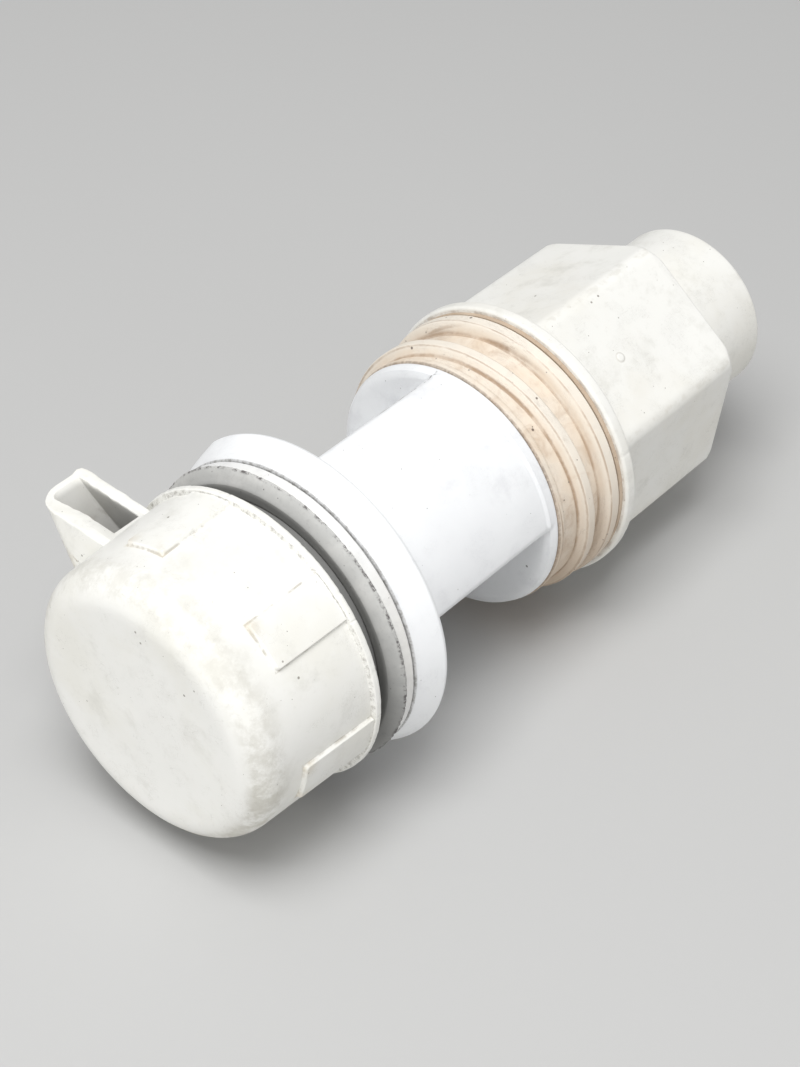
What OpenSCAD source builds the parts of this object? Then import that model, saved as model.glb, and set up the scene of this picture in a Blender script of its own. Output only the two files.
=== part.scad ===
// Thru hull fitting with a turning hooded cap, a flatted stem and a hexagon pipe end.
// The fitting's axis lies along +X, from the outboard cap to the inboard pipe socket.
// The origin is at the centre of the flange's hull-side face. Millimetres throughout.
// Angles round the axis are measured from +Z towards -Y.

/* [Flange and stem] */
// Radius of the flange at its hull-side edge
flange_r = 25.9; // [21.5:0.1:34]
// How much smaller the radius of the flange's front edge is
flange_slope = 1.9; // [0.5:0.1:3]
// Thickness of the flange
flange_t = 5.0; // [3:0.1:9]
// Radius of the stem
stem_r = 20.7; // [18.5:0.1:25]
// Distance from the axis to each flat of the stem
stem_flat = 14.35; // [12.2:0.05:18]
// Length of the flatted stem behind the flange
stem_l = 29.9; // [12:0.1:60]
// Direction in which the first flat faces
flat_angle = 127; // [0:1:180]
// Thickness of the round collar at the stem's end
collar_t = 2.0; // [1.5:0.1:6]
// Rounding of the collar's front edge
collar_round_r = 1.3; // [0.3:0.1:1.4]
// Depth of the flat cut into the flange's edge
flange_flat_d = 1.3; // [0:0.1:3]
// Direction in which the flange's flat faces
flange_flat_angle = -64; // [-180:1:180]
// Radius of the passage through the stem
bore_r = 11.0; // [7:0.1:13.3]

/* [Neck and port] */
// Thickness of the wall of the neck that the cap turns on
neck_wall_t = 4.4; // [3.6:0.1:6]
// Thickness of the neck's closed end
neck_end_t = 3.2; // [2.8:0.1:5]
// Running clearance between the neck and the cap's bore, on the radius
cap_fit = 0.1; // [0.05:0.01:0.2]

/* [Cap] */
// Height of the bead round the cap's rim
bead_h = 1.1; // [0.8:0.1:2.5]
// Thickness of the cap's wall just in front of the bead
cap_wall_t = 2.4; // [2:0.1:4]
// Slope of the cap's wall, as radius lost for each millimetre of length
cap_taper = 0.041; // [0:0.001:0.05]
// Length of the cap from its rim to its front face
cap_l = 23.5; // [22.5:0.1:34]
// Thickness of the cap's front wall
cap_front_t = 2.6; // [2.2:0.1:5]
// Radius of the rounding between the cap's front and its wall
cap_round_r = 4.8; // [3:0.1:6]
// Width of the rim bead along the axis
bead_w = 1.45; // [0.8:0.05:3]
// Gap between the cap's rim and the grey gasket
rim_gap = 2.9; // [1:0.1:6]
// Angle through which the cap turns
cap_travel = 90; // [30:1:120]

/* [Grip pads] */
// Number of raised pads round the cap
pad_n = 6; // [3:1:8]
// Angle that one pad covers
pad_angle = 19.5; // [8:0.5:28]
// Direction of the first pad's middle
pad_start = -16.4; // [-30:0.1:30]
// Height of the pads above the cap's wall
pad_h = 0.6; // [0.3:0.05:1]
// Length of the pads in front of the bead
pad_l = 13.3; // [6:0.1:14]

/* [Hood] */
// Width of the hood along the axis, across its mouth
hood_w = 9.7; // [8:0.1:10.5]
// Distance from the cap's rim to the mouth's nearer side
hood_back = 3.0; // [2.6:0.1:3.5]
// How far the hood's tip stands out past the cap's wall
hood_out = 8.5; // [6:0.1:13]
// Height of the mouth above the axis, at the tip
mouth_z = 15.8; // [14:0.1:17]
// Fall of the mouth's lips from the tip to the cap
mouth_fall = 1.0; // [0:0.1:1.5]
// Rounding of the tip's corner nearer the cap's front
tip_round_r = 4.2; // [1:0.1:5]
// Thickness of the hood's wall towards the cap's front
hood_front_t = 2.9; // [1.5:0.1:3.2]
// Thickness of the hood's wall towards the cap's rim
hood_rear_t = 2.0; // [1.2:0.1:2.4]
// Thickness of the hood's sloping back
hood_back_t = 1.9; // [1.2:0.1:3]
// Extra width on each side where the hood meets the cap
hood_flare = 1.5; // [0:0.1:1.8]

/* [Rings in the gap] */
// Thickness of the thin white ring
wear_t = 2.1; // [1:0.1:4]
// Width of the groove between the white ring and the flange
groove_w = 0.2; // [0.1:0.05:0.6]
// Thickness of the grey gasket
gasket_t = 1.7; // [1:0.1:3]
// How far the grey gasket stands out past the flange's front edge
gasket_over = 0.4; // [0:0.1:1.5]
// Height of the gasket's sloped face
gasket_slope = 2.1; // [1:0.1:3]

/* [Threaded sleeve] */
// Thickness of the sleeve at the bottom of its thread
sleeve_t = 3.05; // [2.2:0.05:5]
// Height of the coarse thread
thread_h = 1.6; // [0.8:0.1:3]
// Pitch of the coarse thread
thread_pitch = 7.0; // [4.5:0.1:9]
// Direction in which the thread starts
thread_start = -130; // [-180:1:180]
// Height of the band at the sleeve's inboard end
end_band_h = 2.0; // [0.8:0.1:3]
// Width of that band
end_band_w = 2.2; // [1:0.1:4]
// Length of the threaded sleeve
sleeve_l = 12.5; // [9.5:0.1:24]
// Thickness of the barrel's wall inside the sleeve
barrel_wall_t = 3.0; // [2.2:0.1:4]
// Fit between the sleeve and the barrel, on the radius
sleeve_fit = 0.05; // [0.02:0.01:0.2]

/* [Hexagon piece] */
// How far the hexagon's corners stand out past the round collar
hex_over = 7.6; // [5.5:0.1:12]
// Length of the hexagon
hex_l = 29.5; // [14:0.1:50]
// Direction of the hexagon's first corner
hex_angle = 7.8; // [0:0.1:60]
// How far the lip stands out past the hexagon's corners
lip_over = 1.6; // [0.8:0.1:4]
// Thickness of the lip
lip_t = 2.2; // [1:0.1:5]
// Thickness of the round collar's wall beyond the hexagon
dome_wall_t = 1.6; // [1.2:0.1:4]
// Length of the round collar
dome_l = 17.0; // [12:0.1:30]
// Rounding of the collar's outer end
dome_round_r = 1.4; // [0.6:0.1:1.5]
// Radius of the fillet at the collar's foot
dome_fillet_r = 2.4; // [0.5:0.1:3]
// Thickness of the shank's wall inside the barrel
shank_wall_t = 6.0; // [4:0.1:8]
// Running clearance between the shank and the barrel, on the radius
shank_fit = 0.1; // [0.05:0.01:0.2]

/* [Pipe socket] */
// Outer diameter of the pipe that the socket takes
pipe_d = 20; // [15:0.5:25]
// Clearance round the pipe, on the radius
pipe_fit = 0.1; // [0.05:0.01:0.3]
// Depth of the plain socket beyond the grab ring's pocket
socket_l = 12; // [6:0.5:20]
// Width of the step that stops the pipe, on the radius
pipe_stop_w = 1.5; // [0.8:0.1:3]

/* [Hidden] */
$fn = 96;
eps = 0.02;

// Radii at the cap's end, from the flange's edge inwards.
flange_front_r = flange_r - flange_slope;
flange_flat = flange_r - flange_flat_d;
gasket_r = flange_front_r + gasket_over;
gasket_face_r = gasket_r - gasket_slope;
cap_rim_r = flange_front_r;
cap_wall_r = cap_rim_r - bead_h;
cap_bore_r = cap_wall_r - cap_wall_t;
neck_r = cap_bore_r - cap_fit;
chamber_r = neck_r - neck_wall_t;
nose_r = neck_r - 3.2;
cap_nose_r = nose_r + 3 * cap_fit;

// Radii at the pipe's end, from the pipe outwards.
pipe_seal_d = 2.3;
part_gap = 0.05;
tail_bore_r = pipe_d / 2 - pipe_stop_w;
pipe_bore_r = pipe_d / 2 + pipe_fit;
pocket_r = pipe_bore_r + pipe_seal_d + 0.3;
dome_r = pocket_r + dome_wall_t;
hex_corner_r = dome_r + hex_over;
lip_r = hex_corner_r + lip_over;
shank_r = tail_bore_r + shank_wall_t;
barrel_bore_r = shank_r + shank_fit;
barrel_r = barrel_bore_r + barrel_wall_t;
thread_root_r = barrel_r + sleeve_fit + sleeve_t;
thread_crest_r = thread_root_r + thread_h;
end_band_r = thread_root_r + end_band_h;

// Places along the axis, from the flange forwards.
wear_x = -flange_t - groove_w - wear_t;
gasket_x = wear_x - gasket_t;
rim_x = gasket_x - rim_gap;
cap_x = rim_x - cap_l;
cap_inner_x = cap_x + cap_front_t;
washer_t = 0.9;
neck_x = cap_inner_x + washer_t + cap_fit;
chamber_x = neck_x + neck_end_t;
nose_l = 3.4;

// Grooves of the neck, measured from the cap's rim.
seal_d = 1.28;
seal_gap = 0.02;
seal_groove_w = 1.6;
ring_t = 0.9;
ring_groove_w = 1.2;
ring_groove_x = rim_x - 1.3 - ring_groove_w;
rear_groove_x = ring_groove_x - 0.9 - seal_groove_w;
seal_mid_r = cap_bore_r - 0.05 - seal_d / 2;
seal_floor_r = seal_mid_r - seal_d / 2 - seal_gap;
ring_in_r = neck_r - 1.0;
ring_out_r = cap_bore_r + 1.0;
ring_play = 0.15;

// Hood and port.
hood_x1 = rim_x - hood_back;
hood_x0 = hood_x1 - hood_w;
mouth_x0 = hood_x0 + hood_front_t;
mouth_x1 = hood_x1 - hood_rear_t;
hood_reach = cap_wall_r + hood_out;
hood_foot_y = cap_wall_r - 1.7;
hood_foot_z = 4.6;
port_x0 = mouth_x0 - 0.5;
port_x1 = rear_groove_x - 0.8;
port_z0 = 6.5;
port_z1 = 13.5;
front_groove_x = port_x0 - 2.6 - seal_groove_w;
seal_frame = 1.6;
seal_t = 0.8;

// Places along the axis, from the flange backwards.
collar_x = stem_l;
barrel_x = collar_x + collar_t;
sleeve_x = barrel_x + sleeve_fit;
sleeve_end_x = sleeve_x + sleeve_l;
lip_washer_t = 0.75;
lip_x = sleeve_end_x + lip_washer_t + 2 * eps;
barrel_end_x = lip_x - 0.3;
hex_end_x = lip_x + lip_t + hex_l;
dome_end_x = hex_end_x + dome_l;
barrel_floor_x = barrel_x + 0.15;
shank_x = barrel_floor_x + 1.5;
key_r = 1.0;
key_l = 8;

// Push-in joint, measured back from the collar's end.
retainer_l = 7.6;
grab_t = 1.0;
spacer_t = 1.6;
retainer_x = dome_end_x - retainer_l;
grab_x = retainer_x - part_gap - grab_t;
spacer_x = grab_x - part_gap - spacer_t;
pocket_x = spacer_x - pipe_seal_d - 2 * part_gap;
socket_x = pocket_x - socket_l;

// Wall radius of the cap at a place along the axis.
function cap_r(x) = cap_wall_r - cap_taper * (rim_x - bead_w - x);

// Turns a shape made along +Z so that it lies along +X.
module along_x() {
    rotate([0, 90, 0]) children();
}

// Disc or tube from x0 to x1.
module rod(x0, x1, r) {
    along_x() translate([0, 0, x0]) cylinder(h = x1 - x0, r = r);
}

module tube(x0, x1, r_in, r_out) {
    difference() {
        rod(x0, x1, r_out);
        rod(x0 - 1, x1 + 1, r_in);
    }
}

// Solid of revolution whose outline is given as [place along the axis, radius].
module turned(points) {
    along_x() rotate_extrude() polygon([for (p = points) [p[1], p[0]]]);
}

// Puts children at an angle round the axis; their own +Z points outwards.
module at_angle(a) {
    rotate([a, 0, 0]) children();
}

// Wedge round the axis that opens to each side of the direction a.
module sector(a, spread, x0, x1, r) {
    at_angle(a) translate([x0, 0, 0]) rotate([90, 0, 90]) linear_extrude(x1 - x0)
        polygon([[0, 0], [-r * tan(spread / 2), r], [r * tan(spread / 2), r]]);
}

// Ring with a round section.
module o_ring(x, r, d) {
    along_x() translate([0, 0, x]) rotate_extrude() translate([r, 0]) circle(d = d, $fn = 32);
}

// Outline of the cap's outside, with its front corner rounded.
module cap_outline(extra = 0) {
    r_front = cap_r(cap_x + cap_round_r) + extra;
    intersection() {
        union() {
            polygon([[0, cap_x + cap_round_r], [0, rim_x], [cap_wall_r + extra, rim_x],
                [cap_wall_r + extra, rim_x - bead_w], [r_front, cap_x + cap_round_r]]);
            translate([0, cap_x]) square([r_front - cap_round_r, cap_round_r + eps]);
            translate([r_front - cap_round_r, cap_x + cap_round_r]) circle(r = cap_round_r);
        }
        translate([0, cap_x]) square([cap_rim_r + extra, cap_l]);
    }
}

module cap_wall() {
    along_x() rotate_extrude() cap_outline();
}

// Rim bead with a rounded outer edge.
module rim_bead() {
    bead_round = bead_w / 2;
    along_x() rotate_extrude() {
        translate([cap_bore_r, rim_x - bead_w]) square([cap_rim_r - bead_round - cap_bore_r, bead_w]);
        translate([cap_rim_r - bead_round, rim_x - bead_round]) circle(r = bead_round);
    }
}

module grip_pads() {
    intersection() {
        along_x() rotate_extrude() cap_outline(pad_h);
        for (i = [0 : pad_n - 1])
            sector(pad_start + i * 360 / pad_n, pad_angle, rim_x - bead_w - pad_l, rim_x - bead_w / 2,
                cap_rim_r + 5);
    }
}

// Side view of the hood, wide at the mouth and running down to the cap.
module hood_side() {
    polygon([[hood_reach, mouth_z], [hood_foot_y, hood_foot_z], [10, hood_foot_z],
        [10, mouth_z - mouth_fall], [16, mouth_z - mouth_fall]]);
}

// Side view of the hood's hollow, which runs in under the cap's wall and opens at the mouth.
module hood_hollow_side() {
    back_dy = hood_reach - hood_foot_y;
    back_dz = mouth_z - hood_foot_z;
    shift = hood_back_t * sqrt(back_dy * back_dy + back_dz * back_dz) / back_dz;
    over = 3;
    throat_z = mouth_z - mouth_fall - 0.6;
    throat_y = sqrt(pow(cap_r(hood_x0 + hood_w / 2), 2) - pow(throat_z, 2));
    polygon([[hood_reach - shift + over * back_dy / back_dz, mouth_z + over],
        [hood_foot_y - shift, hood_foot_z], [10, hood_foot_z], [10, throat_z], [throat_y, throat_z],
        [throat_y, mouth_z + over]]);
}

// Width of the hood, flared towards its foot, between two inset faces.
module hood_width(front_inset, rear_inset) {
    top = mouth_z + 4;
    slope = hood_flare / (mouth_z - hood_foot_z);
    up = slope * (top - mouth_z);
    translate([0, hood_reach + 5, 0]) rotate([90, 0, 0]) linear_extrude(hood_reach)
        polygon([[hood_x0 - hood_flare + front_inset, hood_foot_z - eps],
            [hood_x1 + hood_flare - rear_inset, hood_foot_z - eps],
            [hood_x1 - up - rear_inset, top], [hood_x0 + up + front_inset, top]]);
}

// Rounded tip of the hood as seen from above.
module hood_plan(x0, x1) {
    r = tip_round_r;
    tip = hood_reach;
    small = 1.2;
    translate([0, 0, -5]) linear_extrude(40) {
        translate([x0, 0]) square([x1 - x0, tip - r]);
        translate([x0 + r, 0]) square([x1 - x0 - r - small, tip]);
        translate([x0 + r, 0]) square([x1 - x0 - r, tip - small]);
        translate([x0 + r, tip - r]) circle(r = r);
        translate([x1 - small, tip - small]) circle(r = small);
    }
}

module hood_solid() {
    intersection() {
        translate([hood_x0 - 5, 0, 0]) rotate([90, 0, 90]) linear_extrude(hood_w + 10) hood_side();
        hood_width(0, 0);
        hood_plan(hood_x0 - hood_flare, hood_x1 + hood_flare);
    }
}

module hood_hollow() {
    intersection() {
        translate([hood_x0 - 5, 0, 0]) rotate([90, 0, 90]) linear_extrude(hood_w + 10)
            hood_hollow_side();
        hood_width(hood_front_t, hood_rear_t);
    }
}

// Arc slot for the stop pin, cut into the inside of the cap's front.
stop_r = nose_r - 5.2;
stop_pin_r = 1.2;
stop_play = 0.3;
stop_depth = 1.4;
stop_angle = 60;
module stop_slot() {
    slot_r = stop_pin_r + stop_play;
    x0 = cap_inner_x - stop_depth;
    difference() {
        tube(x0, cap_inner_x + eps, stop_r - slot_r, stop_r + slot_r);
        at_angle(stop_angle - cap_travel / 2 + 180)
            translate([x0 - 1, 0, 0]) rotate([90, 0, 90]) linear_extrude(stop_depth + 2)
                polygon([[0, 0], [-40 * tan(45), 40], [-40, 60], [40, 60], [40 * tan(45), 40]]);
    }
    for (a = [stop_angle - cap_travel, stop_angle])
        at_angle(a) translate([0, 0, stop_r]) rod(x0, cap_inner_x + eps, slot_r);
}

module cap_shell() {
    color([0.88, 0.87, 0.82]) difference() {
        union() {
            cap_wall();
            rim_bead();
            grip_pads();
            hood_solid();
        }
        rod(neck_x + nose_l - cap_fit, rim_x + 1, cap_bore_r);
        rod(cap_inner_x, neck_x + nose_l, cap_nose_r);
        tube(ring_groove_x, ring_groove_x + ring_groove_w, cap_bore_r - 1, ring_out_r + ring_play);
        hood_hollow();
        stop_slot();
    }
}

module thrust_washer() {
    color([0.93, 0.93, 0.9]) tube(neck_x - washer_t, neck_x, 5, stop_r - stop_pin_r - 0.8);
}

module retaining_ring() {
    ring_x = ring_groove_x + (ring_groove_w - ring_t) / 2;
    color([0.72, 0.73, 0.75]) difference() {
        tube(ring_x, ring_x + ring_t, ring_in_r + eps, ring_out_r);
        sector(210, 8, ring_x - 1, ring_x + ring_t + 1, ring_out_r + 2);
    }
}

module neck_seal_front() {
    color([0.12, 0.12, 0.12]) o_ring(front_groove_x + seal_groove_w / 2, seal_mid_r, seal_d);
}

module neck_seal_rear() {
    color([0.12, 0.12, 0.12]) o_ring(rear_groove_x + seal_groove_w / 2, seal_mid_r, seal_d);
}

// Straight channel through the neck's wall, grown by the given margins.
module port_block(x_margin, z_margin) {
    translate([port_x0 - x_margin, 8, port_z0 - z_margin])
        cube([port_x1 - port_x0 + 2 * x_margin, 20, port_z1 - port_z0 + 2 * z_margin]);
}

module port_seal() {
    margin = min(seal_frame, 0.6);
    color([0.15, 0.15, 0.16]) difference() {
        intersection() {
            tube(port_x0 - 2, port_x1 + 2, neck_r - seal_t, neck_r + cap_fit - 0.05);
            port_block(margin, seal_frame);
        }
        port_block(0, 0);
    }
}

module stop_pin() {
    color([0.75, 0.76, 0.78]) at_angle(stop_angle) translate([0, 0, stop_r])
        rod(cap_inner_x - stop_depth + stop_play, neck_x + neck_end_t - 1, stop_pin_r);
}

module wiper_gasket() {
    color([0.5, 0.51, 0.52]) turned([[gasket_x, neck_r + cap_fit], [gasket_x, gasket_face_r],
        [wear_x - 0.3, gasket_r], [wear_x, gasket_r], [wear_x, neck_r + cap_fit]]);
}

module wear_ring() {
    color([0.9, 0.91, 0.92])
        tube(wear_x + eps, wear_x + wear_t, neck_r + cap_fit, flange_front_r);
}

module flange() {
    edge = 0.6;
    turned([[-flange_t, 0], [-flange_t, flange_front_r], [-edge, flange_r],
        [0, flange_r - edge / 2], [0, 0]]);
}

module flange_cut() {
    at_angle(flange_flat_angle) translate([-flange_t, -flange_r, flange_flat])
        cube([flange_t + 1, 2 * flange_r, flange_r]);
}

module stem() {
    intersection() {
        rod(-1, collar_x + eps, stem_r);
        at_angle(flat_angle) translate([-1, -stem_r - 1, -stem_flat])
            cube([collar_x + 2, 2 * stem_r + 2, 2 * stem_flat]);
    }
}

// Full-round collar at the stem's end, with a rounded front edge.
module stem_collar() {
    along_x() rotate_extrude() {
        translate([0, collar_x]) square([stem_r - collar_round_r, collar_t]);
        translate([0, collar_x + collar_round_r]) square([stem_r, collar_t - collar_round_r]);
        intersection() {
            translate([stem_r - collar_round_r, collar_x + collar_round_r]) circle(r = collar_round_r);
            translate([0, collar_x]) square([stem_r, collar_t]);
        }
    }
}

module flanged_body() {
    color([0.92, 0.94, 0.96]) difference() {
        union() {
            rod(neck_x, -flange_t, nose_r);
            rod(neck_x + nose_l, -flange_t, neck_r);
            rod(wear_x + wear_t - eps, -flange_t + eps, neck_r);
            difference() {
                flange();
                flange_cut();
            }
            stem();
            stem_collar();
            rod(barrel_x - eps, barrel_end_x, barrel_r);
        }
        rod(chamber_x, -flange_t - 1, chamber_r);
        rod(-flange_t - 2, barrel_floor_x + 1, bore_r);
        rod(barrel_floor_x, barrel_end_x + 1, barrel_bore_r);
        tube(ring_groove_x, ring_groove_x + ring_groove_w, ring_in_r, neck_r + 2);
        tube(rear_groove_x, rear_groove_x + seal_groove_w, seal_floor_r, neck_r + 2);
        tube(front_groove_x, front_groove_x + seal_groove_w, seal_floor_r, neck_r + 2);
        port_block(0, 0);
        intersection() {
            tube(port_x0 - 2, port_x1 + 2, neck_r - seal_t - eps, neck_r + 2);
            port_block(min(seal_frame, 0.6) + eps, seal_frame + eps);
        }
        at_angle(stop_angle) translate([0, 0, stop_r])
            rod(neck_x - 1, neck_x + neck_end_t - 1 + eps, stop_pin_r);
        key_slots(eps);
    }
}

// Round key ways shared by the barrel and the sleeve.
module key_slots(play) {
    for (a = [90, 270])
        at_angle(a) translate([0, 0, barrel_r])
            rod(barrel_end_x - key_l - play, barrel_end_x + 1, key_r + play);
}

module sleeve_keys() {
    color([0.8, 0.8, 0.78])
        for (a = [90, 270])
            at_angle(a) translate([0, 0, barrel_r]) rod(barrel_end_x - key_l, sleeve_end_x, key_r);
}

// Coarse thread: a rounded ridge that rises from the sleeve at both ends of its run.
thread_steps = 60;
ridge_foot_w = 3.6;
ridge_top_w = 1.5;
ridge_sink = 0.9;
fade_turn = 0.15;
thread_x = sleeve_x + ridge_foot_w / 2 + eps;
thread_turns = (sleeve_l - ridge_foot_w - 0.5) / thread_pitch;
function fade(t) = min(1, min(t, thread_turns - t) / fade_turn);
function ridge_ring(t) =
    let (full = thread_crest_r - thread_root_r, h = fade(t) * (full + 0.35) - 0.35,
        a = thread_start + 360 * t,
        outline = [[-ridge_foot_w / 2, -ridge_sink], [-ridge_top_w / 2, h - 0.25], [-ridge_top_w / 4, h],
            [ridge_top_w / 4, h], [ridge_top_w / 2, h - 0.25], [ridge_foot_w / 2, -ridge_sink]])
    [for (p = outline) [thread_x + t * thread_pitch + p[0], -(thread_root_r + p[1]) * sin(a),
        (thread_root_r + p[1]) * cos(a)]];

module thread_ridge() {
    sides = 6;
    count = round(thread_steps * thread_turns);
    points = [for (i = [0 : count]) each ridge_ring(thread_turns * i / count)];
    walls = [for (i = [0 : count - 1], j = [0 : sides - 1])
        let (a = i * sides + j, b = i * sides + (j + 1) % sides)
            each [[a, b, b + sides], [a, b + sides, a + sides]]];
    first = [for (j = [1 : sides - 2]) [0, j + 1, j]];
    last = [for (j = [1 : sides - 2]) [count * sides, count * sides + j, count * sides + j + 1]];
    polyhedron(points = points, faces = concat(walls, first, last), convexity = 6);
}

module threaded_sleeve() {
    end_band_x = sleeve_end_x - end_band_w;
    color([0.83, 0.7, 0.56]) difference() {
        union() {
            rod(sleeve_x, sleeve_end_x, thread_root_r);
            turned([[end_band_x - 0.8, thread_root_r - 1], [end_band_x - 0.8, thread_root_r],
                [end_band_x, end_band_r], [sleeve_end_x, end_band_r], [sleeve_end_x, thread_root_r - 1]]);
            thread_ridge();
        }
        rod(sleeve_x - 1, sleeve_end_x + 1, barrel_r + sleeve_fit);
        key_slots(eps);
    }
}

module lip_washer() {
    color([0.3, 0.27, 0.24])
        tube(sleeve_end_x + eps, lip_x - eps, barrel_r + key_r + 0.3, lip_r - 0.9);
}

shank_seal_d = 1.8;
shank_seal_x = shank_x + 1.6;
shank_seal_r = barrel_bore_r - 0.05 - shank_seal_d / 2;
module barrel_seal() {
    color([0.12, 0.12, 0.12]) o_ring(shank_seal_x + shank_seal_d / 2, shank_seal_r, shank_seal_d);
}

// Outline of the lip's foot, the fillet and the domed collar with its rounded end.
module dome_outline() {
    fillet_x = hex_end_x + dome_fillet_r;
    round_x = dome_end_x - dome_round_r;
    difference() {
        union() {
            translate([0, hex_end_x - 1]) square([dome_r, dome_l + 1 - dome_round_r]);
            translate([0, hex_end_x - 1]) square([dome_r - dome_round_r, dome_l + 1]);
            translate([dome_r - dome_round_r, round_x]) circle(r = dome_round_r);
            translate([0, hex_end_x - 1]) square([dome_r + dome_fillet_r, dome_fillet_r + 1]);
        }
        translate([dome_r + dome_fillet_r, fillet_x]) circle(r = dome_fillet_r);
    }
}

module dome() {
    along_x() rotate_extrude() dome_outline();
}

// Hexagon with blunted corners and a chamfered inboard end.
module hexagon() {
    blunt = 0.4;
    chamfer = 2.2;
    start_x = lip_x + lip_t / 2;
    intersection() {
        at_angle(hex_angle) along_x() translate([0, 0, start_x])
            rotate([0, 0, 180]) cylinder(h = hex_end_x - start_x, r = hex_corner_r + blunt, $fn = 6);
        turned([[lip_x - 1, 0], [lip_x - 1, hex_corner_r], [hex_end_x - chamfer, hex_corner_r],
            [hex_end_x + 1, hex_corner_r - chamfer - 1], [hex_end_x + 1, 0]]);
    }
}

module lip() {
    lip_round = 0.8;
    turned([[lip_x, 0], [lip_x, lip_r - lip_round], [lip_x + lip_round / 2, lip_r],
        [lip_x + lip_t - lip_round, lip_r], [lip_x + lip_t, hex_corner_r - 1], [lip_x + lip_t, 0]]);
}

module hex_tail() {
    color([0.87, 0.86, 0.81]) difference() {
        union() {
            rod(shank_x, lip_x + 1, shank_r);
            lip();
            hexagon();
            dome();
        }
        rod(shank_x - 1, dome_end_x, tail_bore_r);
        rod(socket_x, dome_end_x, pipe_bore_r);
        rod(pocket_x, dome_end_x + 1, pocket_r);
        tube(shank_seal_x - 0.1, shank_seal_x + shank_seal_d + 0.1,
            shank_seal_r - shank_seal_d / 2 - eps, shank_r + 1);
    }
}

module pipe_seal() {
    color([0.12, 0.12, 0.12])
        o_ring(pocket_x + part_gap + pipe_seal_d / 2, pocket_r - part_gap - pipe_seal_d / 2, pipe_seal_d);
}

module spacer_ring() {
    color([0.9, 0.9, 0.88])
        tube(spacer_x, spacer_x + spacer_t, pipe_bore_r + 0.1, pocket_r - part_gap);
}

// Flat ring with inward teeth that grip the pipe.
module grab_ring() {
    teeth = 12;
    notch_w = 1.6;
    color([0.75, 0.76, 0.78]) difference() {
        tube(grab_x, grab_x + grab_t, pipe_bore_r + 0.05, pocket_r - part_gap);
        for (i = [0 : teeth - 1])
            at_angle(i * 360 / teeth) translate([grab_x - 1, -notch_w / 2, pipe_bore_r - 2])
                cube([grab_t + 2, notch_w, 3.4]);
    }
}

module socket_retainer() {
    color([0.86, 0.85, 0.8]) difference() {
        intersection() {
            rod(retainer_x, dome_end_x + 1, pocket_r - part_gap);
            dome();
        }
        rod(retainer_x - 1, dome_end_x + 1, pipe_bore_r);
    }
}

cap_shell();
thrust_washer();
retaining_ring();
neck_seal_front();
neck_seal_rear();
port_seal();
stop_pin();
wiper_gasket();
wear_ring();
flanged_body();
threaded_sleeve();
sleeve_keys();
lip_washer();
barrel_seal();
hex_tail();
pipe_seal();
spacer_ring();
grab_ring();
socket_retainer();
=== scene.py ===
import math

import bmesh
import bpy
import numpy as np
from mathutils import Matrix, Vector


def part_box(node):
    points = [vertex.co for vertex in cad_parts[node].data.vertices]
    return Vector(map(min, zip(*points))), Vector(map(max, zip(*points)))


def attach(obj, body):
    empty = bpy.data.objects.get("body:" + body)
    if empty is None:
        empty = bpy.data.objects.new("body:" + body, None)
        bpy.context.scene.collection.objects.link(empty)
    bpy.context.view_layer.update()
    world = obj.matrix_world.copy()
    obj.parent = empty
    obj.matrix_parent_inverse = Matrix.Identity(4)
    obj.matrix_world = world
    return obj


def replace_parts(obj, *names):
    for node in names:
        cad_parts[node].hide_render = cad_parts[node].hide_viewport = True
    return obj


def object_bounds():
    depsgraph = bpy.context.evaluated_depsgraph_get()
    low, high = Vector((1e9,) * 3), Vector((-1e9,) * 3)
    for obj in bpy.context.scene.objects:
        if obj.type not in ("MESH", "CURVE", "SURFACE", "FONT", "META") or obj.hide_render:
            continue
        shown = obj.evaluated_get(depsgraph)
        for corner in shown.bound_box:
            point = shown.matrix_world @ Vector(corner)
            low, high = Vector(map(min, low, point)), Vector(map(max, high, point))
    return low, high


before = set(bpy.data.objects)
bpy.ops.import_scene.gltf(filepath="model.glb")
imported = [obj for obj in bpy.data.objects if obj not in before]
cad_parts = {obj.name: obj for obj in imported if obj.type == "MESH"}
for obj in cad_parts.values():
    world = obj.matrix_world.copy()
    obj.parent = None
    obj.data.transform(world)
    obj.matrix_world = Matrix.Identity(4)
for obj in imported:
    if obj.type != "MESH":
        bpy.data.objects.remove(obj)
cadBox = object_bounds()
mm = 0.001
bendStep = 11  # degrees between the points of a rounded corner, at most


def reach(node):
    # lowest and highest corner of a CAD node, in millimetres
    low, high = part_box(node)
    return low / mm, high / mm


# ends of the pieces along the axis, and the radii that their boxes give
capLow, capHigh = reach("cap_shell")
bodyLow, bodyHigh = reach("flanged_body")
sleeveLow, sleeveHigh = reach("threaded_sleeve")
tailLow, tailHigh = reach("hex_tail")
gasketLow, gasketHigh = reach("wiper_gasket")
wearLow, wearHigh = reach("wear_ring")
washerHigh = reach("lip_washer")[1]
retainerLow, retainerHigh = reach("socket_retainer")
print("frame loaded")


def smooth(value, low, high):
    t = np.clip((value - low) / (high - low), 0, 1)
    return t * t * (3 - 2 * t)


def softMin(a, b, k):
    h = np.clip(0.5 + 0.5 * (b - a) / k, 0, 1)
    return b + (a - b) * h - k * h * (1 - h)


def wander(seed, angle, x=0.0, waves=8, low=2, high=30, drift=0.5):
    # gentle unevenness round a turned piece; it closes on itself after a full turn
    rng = np.random.default_rng(seed)
    total = 0.0
    for _ in range(waves):
        turns, lean, start = rng.integers(low, high), rng.uniform(-drift, drift), rng.uniform(0, 6.28)
        total = total + np.sin(turns * np.radians(angle) + lean * x + start)
    return total / math.sqrt(waves)


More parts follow.
